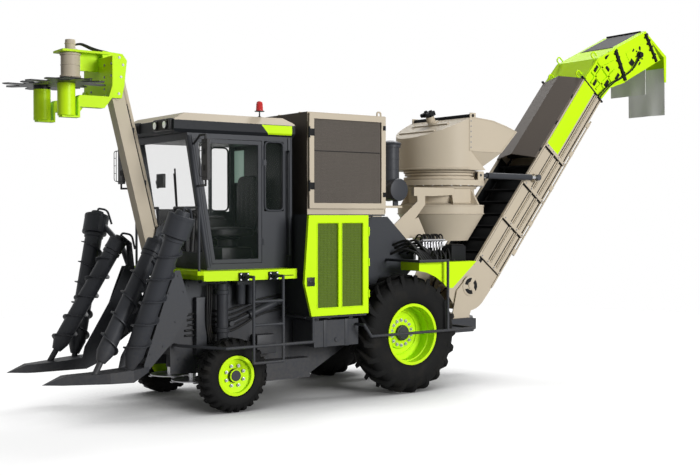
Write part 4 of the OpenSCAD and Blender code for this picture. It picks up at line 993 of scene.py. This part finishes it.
# painted shadow lines: a dark strip under the top rail and one over the bottom rail
plate(black, 0.38, 2.6, -0.001, 0.0085, 0.106, 0.116, 0.001)
plate(black, 0.52, 3.975, -0.001, 0.006, -0.351, -0.34, 0.001)
plate(black, 3.978, 4.0, -0.01, 0.028, -0.41, 0.2)
plate(black, 0.40, 0.47, -0.001, 0.004, 0.03, 0.085, 0.015)
for a in (2.5, 3.05, 3.6):
    plate(black, a - 0.035, a + 0.035, -0.002, 0.006, 0.147, 0.168, 0.003)
for piece in (beam, panels, black, bolts):
    piece.mirror()
for a in (1.05, 1.78):
    beam.box((a - 0.02, -h, -0.372), (a + 0.02, h, -0.362), 0.003)
for piece in (beam, panels, black, bolts):
    piece.done()

# bearing disc with three slots on each cheek of the turntable
p = Piece("lift_discs", "beigePaint", "turntable", fromLift)
p.turned([(0.15, 0), (0.15, 0.006), (0.142, 0.01), (0.05, 0.012), (0.048, 0.024), (0.02, 0.026), (0, 0.026)],
         (0, 0.4505, 0), outward, 48)
p.mirror().done()
p = Piece("lift_disc_slots", "blackPaint", "turntable", fromLift)
for first in angles(3):
    line = [(0.062, first + 0.25 + 0.2 * i) for i in range(7)]
    line += [(0.12, first + 0.25 + 0.25 * i) for i in range(6, -1, -1)]
    p.prism([(r * math.cos(a), 0.461, r * math.sin(a)) for r, a in line], (0, 0.003, 0))
p.mirror().done()

# head of the elevator: stiffeners, bolted plate, seal strips, motor, hoses, eyes, top mat, curtains
headRails = (((4.02, 0.12), (4.45, 0.10)), ((4.45, 0.10), (4.83, -0.085)), ((4.83, -0.085), (5.6, -0.46)),
             ((4.02, -0.345), (4.3, -0.385)), ((4.3, -0.385), (4.6, -0.585)), ((4.05, -0.02), (4.42, -0.05)),
             ((4.05, -0.17), (4.6, -0.3)), ((4.42, -0.05), (4.7, -0.2)), ((4.2, 0.09), (4.2, -0.32)),
             ((4.42, 0.09), (4.4, -0.4)))
headStrips = (((4.86, -0.1), (4.64, -0.6), 0.026), ((5.58, -0.47), (5.42, -0.97), 0.02))
headPlate = ((5.0, -0.32), (5.44, -0.545), (5.33, -0.86), (4.9, -0.65))
headDarks = ((4.31, 0.03, 0.12, 0.05), (4.3, -0.3, 0.12, 0.06), (4.12, -0.09, 0.1, 0.05),
             (4.5, -0.17, 0.05, 0.09), (4.56, -0.42, 0.12, 0.05), (4.66, -0.03, 0.14, 0.04),
             (4.98, -0.53, 0.1, 0.1), (5.16, -0.43, 0.06, 0.03), (5.3, -0.52, 0.05, 0.05),
             (5.1, -0.68, 0.07, 0.03))
headMotor = Vector((5.2, h + 0.008, -0.585))
headSkin = h - 0.001


def bar(piece, first, last, half, proud):
    start, end = (Vector((a, headSkin, d)) for a, d in (first, last))
    across = Vector((start.z - end.z, 0, end.x - start.x)).normalized() * half
    piece.prism([start - across, end - across, end + across, start + across], (0, proud + 0.001, 0))


head = Piece("head_stiffeners", "limePaint", "elevator", onSlope)
dark = Piece("head_motors", "blackPaint", "elevator", onSlope)
for first, last in headRails:
    bar(head, first, last, 0.015, 0.026)
head.prism(flat(headSkin, *headPlate), (0, 0.011, 0))
for first, last, half in headStrips:
    bar(dark, first, last, half, 0.03)
    for t in (0.08, 0.3, 0.52, 0.8):
        a, d = Vector(first).lerp(Vector(last), t)
        plate(dark, a - 0.055, a + 0.055, 0, 0.022, d - 0.016, d + 0.016)
for a, d, wide, tall in headDarks:
    plate(dark, a - wide / 2, a + wide / 2, -0.001, 0.013, d - tall / 2, d + tall / 2, 0.002)
dark.turned([(0.062, 0), (0.062, 0.02), (0.045, 0.024), (0.045, 0.06), (0.03, 0.068), (0, 0.068)], headMotor,
            outward, 28)
for a in angles(6, 0.5):  # bolts round the motor
    spot = headMotor + Vector((0.09 * math.cos(a), 0, 0.09 * math.sin(a)))
    dark.rod(spot, spot + outward * 0.016, 0.013, 8)
for a, y, d in ((4.03, 0.3, 0.13), (4.44, 0.37, 0.115)):  # eyes
    head.tube([(a, y, d), (a, y, d + 0.1), (a + 0.09, y, d + 0.1), (a + 0.09, y, d - 0.01)], 0.012, 0.05)
for k in range(2):  # hoses
    y = h + 0.04 + 0.012 * k
    dark.tube([(3.99, y, -0.26 - 0.025 * k), (4.35, y, -0.34 - 0.025 * k), (4.62, y, -0.5), (4.9, y, -0.6),
               (5.14, h + 0.045, -0.575 - 0.02 * k)], 0.01, 0.12, 8)
head.tube([(4.92, 0.35, -0.109), (5.573, 0.35, -0.433)], 0.011, count=8)
head.mirror().done()
dark.mirror()
dark.prism(flat(-0.335, (4.922, -0.108), (5.575, -0.432), (5.578, -0.426), (4.925, -0.102)), (0, 0.67, 0))
dark.tube([(5.585, -0.36, -0.42), (5.585, 0.36, -0.42)], 0.016, count=10)
dark.done()
p = Piece("flap_strips", "limePaint", "bin_flap", fromFlap)
p.box((-0.006, 0.345, 0), (0.003, 0.4, 0.43), 0.003)
p.mirror()
p.box((-0.004, -0.35, 0.2), (0.003, 0.35, 0.25), 0.003)
p.done()
p = Piece("flap_bolts", "dullSteel", "bin_flap", fromFlap, 30)
p.bolts([(-0.008, 0.372, 0.04 + 0.07 * i) for i in range(6)], (-1, 0, 0), 0.009, 0.008)
p.mirror().done()


# hanging rubber plate, waved a little more towards its foot
def curtain(piece, low, high, wave):
    across, down = 28, 20
    layers, faces = [], piece.bm.faces
    for x in (low[0], high[0]):
        rows = []
        for j in range(down + 1):
            t, row = j / down, []
            for i in range(across + 1):
                y = low[1] + (high[1] - low[1]) * i / across
                shift = wave * t * t * (math.sin(9 * y + 1.3) + 0.6 * math.sin(17 * y))
                row.append(piece.bm.verts.new((x + shift, y, high[2] + (low[2] - high[2]) * t)))
            rows.append(row)
        layers.append(rows)
        for j in range(down):
            for i in range(across):
                faces.new((rows[j][i], rows[j][i + 1], rows[j + 1][i + 1], rows[j + 1][i]))
    first, second = layers
    edge = [(0, i) for i in range(across)] + [(j, across) for j in range(down)]
    edge += [(down, i) for i in range(across, 0, -1)] + [(j, 0) for j in range(down, 0, -1)]
    for (j, i), (k, m) in zip(edge, edge[1:] + edge[:1]):
        faces.new((first[j][i], first[k][m], second[k][m], second[j][i]))
    bmesh.ops.recalc_face_normals(piece.bm, faces=faces)
    piece.done()


curtain(Piece("end_curtain_plate", "curtainRubber", "bin_flap", asBuilt, stands=["end_curtain"]),
        *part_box("end_curtain"), 0.012)
curtain(Piece("inner_curtain_plate", "curtainRubber", "elevator"), (-8.205, -0.37, 4.36),
        (-8.197, 0.37, 4.84), 0.008)
p = Piece("inner_curtain_bar", "limePaint", "elevator")
p.rod((-8.2, -0.41, 4.845), (-8.2, 0.41, 4.845), 0.014)
p.done()
print("elevator made")

# valve bank: fittings and hydraulic lines
bank = {"first": -3.475, "step": 0.05, "count": 8, "loops": 9}
lines = Piece("valve_lines", "hoseRubber")
fittings = Piece("valve_fittings", "bareSteel")
for i in range(bank["count"]):
    x = bank["first"] + bank["step"] * i
    lean = 0.02 * ((i * 5) % 3 - 1)
    fittings.rod((x, 0.72, 1.9), (x, 0.72, 1.985), 0.017, 12)
    fittings.rod((x, 0.80, 1.78), (x, 0.845, 1.78), 0.016, 12)
    lines.tube([(x, 0.72, 1.97), (x, 0.72, 2.06), (x + lean, 0.64, 2.09), (x + lean, 0.575, 2.02),
                (x + lean, 0.57, 1.735)], 0.012, 0.06, 8)
    lines.tube([(x, 0.84, 1.78), (x, 0.9, 1.79), (x + lean, 0.95, 1.85 + 0.03 * (i % 3)),
                (x - lean, 0.985, 1.80), (x - lean, 0.99, 1.728)], 0.012, 0.05, 8)
fittings.box((-3.49, 0.63, 1.985), (-3.11, 0.66, 2.0), 0.003)
fittings.rod((-3.5, 0.735, 2.005), (-3.1, 0.735, 2.005), 0.016, 12)
for i in range(bank["loops"]):  # loops from the side plate into the tray
    x, rise = -2.72 - 0.035 * i, 0.04 * ((i * 7) % 4)
    lines.tube([(x, 0.53, 1.82 + rise), (x - 0.02, 0.62, 1.86 + rise),
                (x - 0.08, 0.72 + 0.02 * (i % 3), 1.9 + rise), (x - 0.2, 0.84, 1.84),
                (x - 0.26, 0.88 + 0.012 * i, 1.728)], 0.017, 0.12, 8)
lines.done()
fittings.done()
p = Piece("valve_box", "blackPaint")
p.box((-3.66, 0.82, 1.7205), (-3.40, 1.0, 1.93), 0.012)
p.box((-3.64, 0.84, 1.925), (-3.42, 0.98, 1.95), 0.01)
p.done()

# air cleaner: end caps, clamps and a rain cap
p = Piece("air_cleaner_caps", "charcoalPaint")
p.turned([(0.154, 0), (0.156, 0.02), (0.15, 0.03), (0.12, 0.036), (0.05, 0.04), (0, 0.04)], (-2.86, 0.5, 2.7),
         outward, 40)
for y in (0.27, 0.44):
    p.turned([(0.148, 0), (0.156, 0.004), (0.156, 0.022), (0.148, 0.026)], (-2.86, y, 2.7), outward, 40, True)
for z in (2.98, 3.12, 3.22):
    p.turned([(0.12, 0), (0.13, 0.004), (0.13, 0.016), (0.12, 0.02)], (-2.86, 0.32, z), up, 40, True)
p.turned([(0.145, 0), (0.16, 0.01), (0.15, 0.03), (0.05, 0.06), (0, 0.065)], (-2.86, 0.32, 3.325), up, 40)
p.done()

# side plates: bolts, leg clamps, cylinders, filter cans, tank straps and lines
boltRows = (((-2.05, 1.68), (-2.05, 2.18), 6), ((0.36, 1.5), (0.58, 0.96), 6),
            ((-0.95, 1.5), (-0.98, 1.2), 4), ((0.1, 0.62), (0.5, 0.62), 5), ((-0.6, 1.53), (0.2, 1.53), 8))
spots = []
for start, end, count in boltRows:
    for i in range(count):
        x, z = Vector(start).lerp(Vector(end), i / (count - 1))
        spots.append((x, 0.5235, z))
p = Piece("plate_bolts", "charcoalPaint", smooth=30)
p.bolts(spots, outward, 0.011, 0.012)
p.mirror().done()
p = Piece("side_fittings", "charcoalPaint")
rods = Piece("side_rods", "charcoalPaint")
hoses = Piece("side_lines", "hoseRubber")
for z in (0.96, 1.42):  # clamps round the front legs
    p.turned([(0.072, 0), (0.086, 0.006), (0.086, 0.05), (0.072, 0.056)], (0, 0.7, z - 0.028), up, 32, True)
low, high = Vector((-0.16, 0.60, 1.02)), Vector((-0.86, 0.585, 1.26))
p.turned([(0.03, 0.28), (0.048, 0.285), (0.048, 0.70), (0.03, 0.71)], low, high - low, 24)
rods.rod(low, low.lerp(high, 0.45), 0.022, 16)
p.rod(low - outward * 0.05, low + outward * 0.05, 0.035)
p.rod(high - outward * 0.05, high + outward * 0.05, 0.04)
for x in (-0.30, -0.45):  # filter cans under a head
    p.turned([(0.045, 0), (0.056, 0.008), (0.056, 0.2), (0.06, 0.205), (0.06, 0.25), (0.04, 0.255)],
             (x, 0.62, 1.25), up, 28)
p.box((-0.54, 0.52, 1.495), (-0.22, 0.68, 1.545), 0.008)
p.box((-0.78, 0.52, 0.62), (-0.5, 0.68, 0.86), 0.012)
p.box((0.16, 0.52, 0.66), (0.30, 0.60, 1.36), 0.01)
for k in range(5):
    z = 1.34 - 0.045 * k
    hoses.tube([(-0.94, 0.535 + 0.006 * k, z), (-0.62, 0.54 + 0.006 * k, z - 0.04),
                (-0.2, 0.56 + 0.01 * k, z - 0.16 - 0.02 * k), (0.2, 0.545, 1.18 - 0.07 * k),
                (0.42, 0.535, 1.14 - 0.06 * k)], 0.013, 0.15, 8)
for k in range(3):
    hoses.tube([(0.09 + 0.03 * k, 0.6, 1.5), (0.11 + 0.03 * k, 0.63, 1.3), (0.13 + 0.02 * k, 0.62, 1.0),
                (0.06 + 0.03 * k, 0.6, 0.8)], 0.012, 0.12, 8)
for x in (-1.27, -1.60):  # straps, cap and plug of the tank
    p.box((x - 0.03, 0.554, 0.694), (x + 0.03, 1.058, 1.036), 0.006)
p.turned([(0.055, 0), (0.055, 0.012), (0.05, 0.035), (0, 0.04)], (-1.44, 0.85, 1.029), up, 28)
p.rod((-1.44, 1.045, 0.78), (-1.44, 1.062, 0.78), 0.03)
for piece in (p, rods, hoses):
    piece.mirror().done()
print("side fittings made")

# topper: lines on the arm, motor rings, bolts
armLow = Vector((0.585, 0, 1.8))
reach = (armTop + Vector((0.077 - axleX, 0, 0.05)) - armLow).normalized()
behind = Vector((-reach.z, 0, reach.x))
p = Piece("topper_lines", "hoseRubber", "topper_arm")
for k, y in enumerate((-0.05, -0.018, 0.018, 0.05)):
    start = armLow + behind * (0.093 + 0.004 * (k % 2)) + outward * y
    p.tube([start + reach * s for s in (0.14, 0.5, 1.0, 1.5, 1.92)], 0.011, 0.1, 8)
half = Vector((0.018, 0.075, 0.03))
for s in (0.3, 0.95, 1.6):
    spot = armLow + reach * s + behind * 0.095
    p.box(spot - half, spot + half, 0.005)
p.done()
motor = Vector((0.63, 0, 0))
p = Piece("topper_motor_rings", "beigePaint", "topper_head", fromArm)
for z0, z1, r in ((0.214, 0.236, 0.122), (0.35, 0.362, 0.114), (0.47, 0.492, 0.122), (0.526, 0.545, 0.09),
                  (0.6, 0.615, 0.066)):
    p.turned(band(r - 0.02, r, z0, z1, 0.003), motor, up, 40, True)
p.turned([(0.058, 0.64), (0.058, 0.655), (0.03, 0.66), (0, 0.66)], motor)
p.done()
p = Piece("topper_head_lines", "hoseRubber", "topper_head", fromArm)
for y in (0.02, -0.02):
    p.tube([motor + Vector(spot) for spot in ((-0.05, y, 0.6), (-0.13, y, 0.62), (-0.3, y * 2, 0.56),
                                              (-0.5, y * 2, 0.535), (-0.62, y * 2, 0.45))], 0.012, 0.08, 8)
p.done()
p = Piece("topper_bolts", "dullSteel", "topper_head", fromArm, 30)
p.bolts(flat(0.127, (0.077, 0.05), (0.023, 0.395), (0.22, 0.08), (0.22, 0.25), (0.22, 0.45), (0.07, 0.48),
             (0.05, 0.25)), outward, 0.012, 0.012)
p.bolts([(0.292, y, z) for z in (0.08, 0.22, 0.36) for y in (0.2, 0.4)], (1, 0, 0), 0.012, 0.012)
p.mirror().done()

# dividers: heads with motors over the scrolls, bolts
for side, where in sides.items():
    p = Piece(f"divider_heads_{side}", "charcoalPaint", f"divider_{side}", where)
    for s in scrolls.values():
        low, line = scrollLine(s, 1)
        r, start, end = s["head"], s["start"], s["start"] + s["deep"]
        p.turned([(r - 0.01, start), (r, start + 0.006), (r, start + 0.03), (r - 0.01, start + 0.034)],
                 low, line, 40, True)
        p.turned([(r - 0.006, end - 0.04), (r, end - 0.036), (r, end - 0.006), (r - 0.008, end),
                  (r * 0.55, end + 0.002), (r * 0.5, end + 0.05), (r * 0.3, end + 0.056), (0, end + 0.056)],
                 low, line, 40)
        axis = line.normalized()
        top = low + axis * (end + 0.05)
        p.tube([top, top + axis * 0.05, top + axis * 0.05 + Vector((-0.1, -0.06, -0.02)),
                top + Vector((-0.16, -0.08, -0.16))], 0.014, 0.05, 8)
    p.done()
    p = Piece(f"divider_bolts_{side}", "charcoalPaint", f"divider_{side}", where, 30)
    p.bolts(flat(0.7665, (0.62, 1.64), (0.74, 1.44), (0.55, 1.45), (0.88, 1.1), (0.66, 1.1), (0.98, 0.74),
                 (0.82, 0.82)), outward, 0.011, 0.01)
    p.done()
print("topper and dividers made")
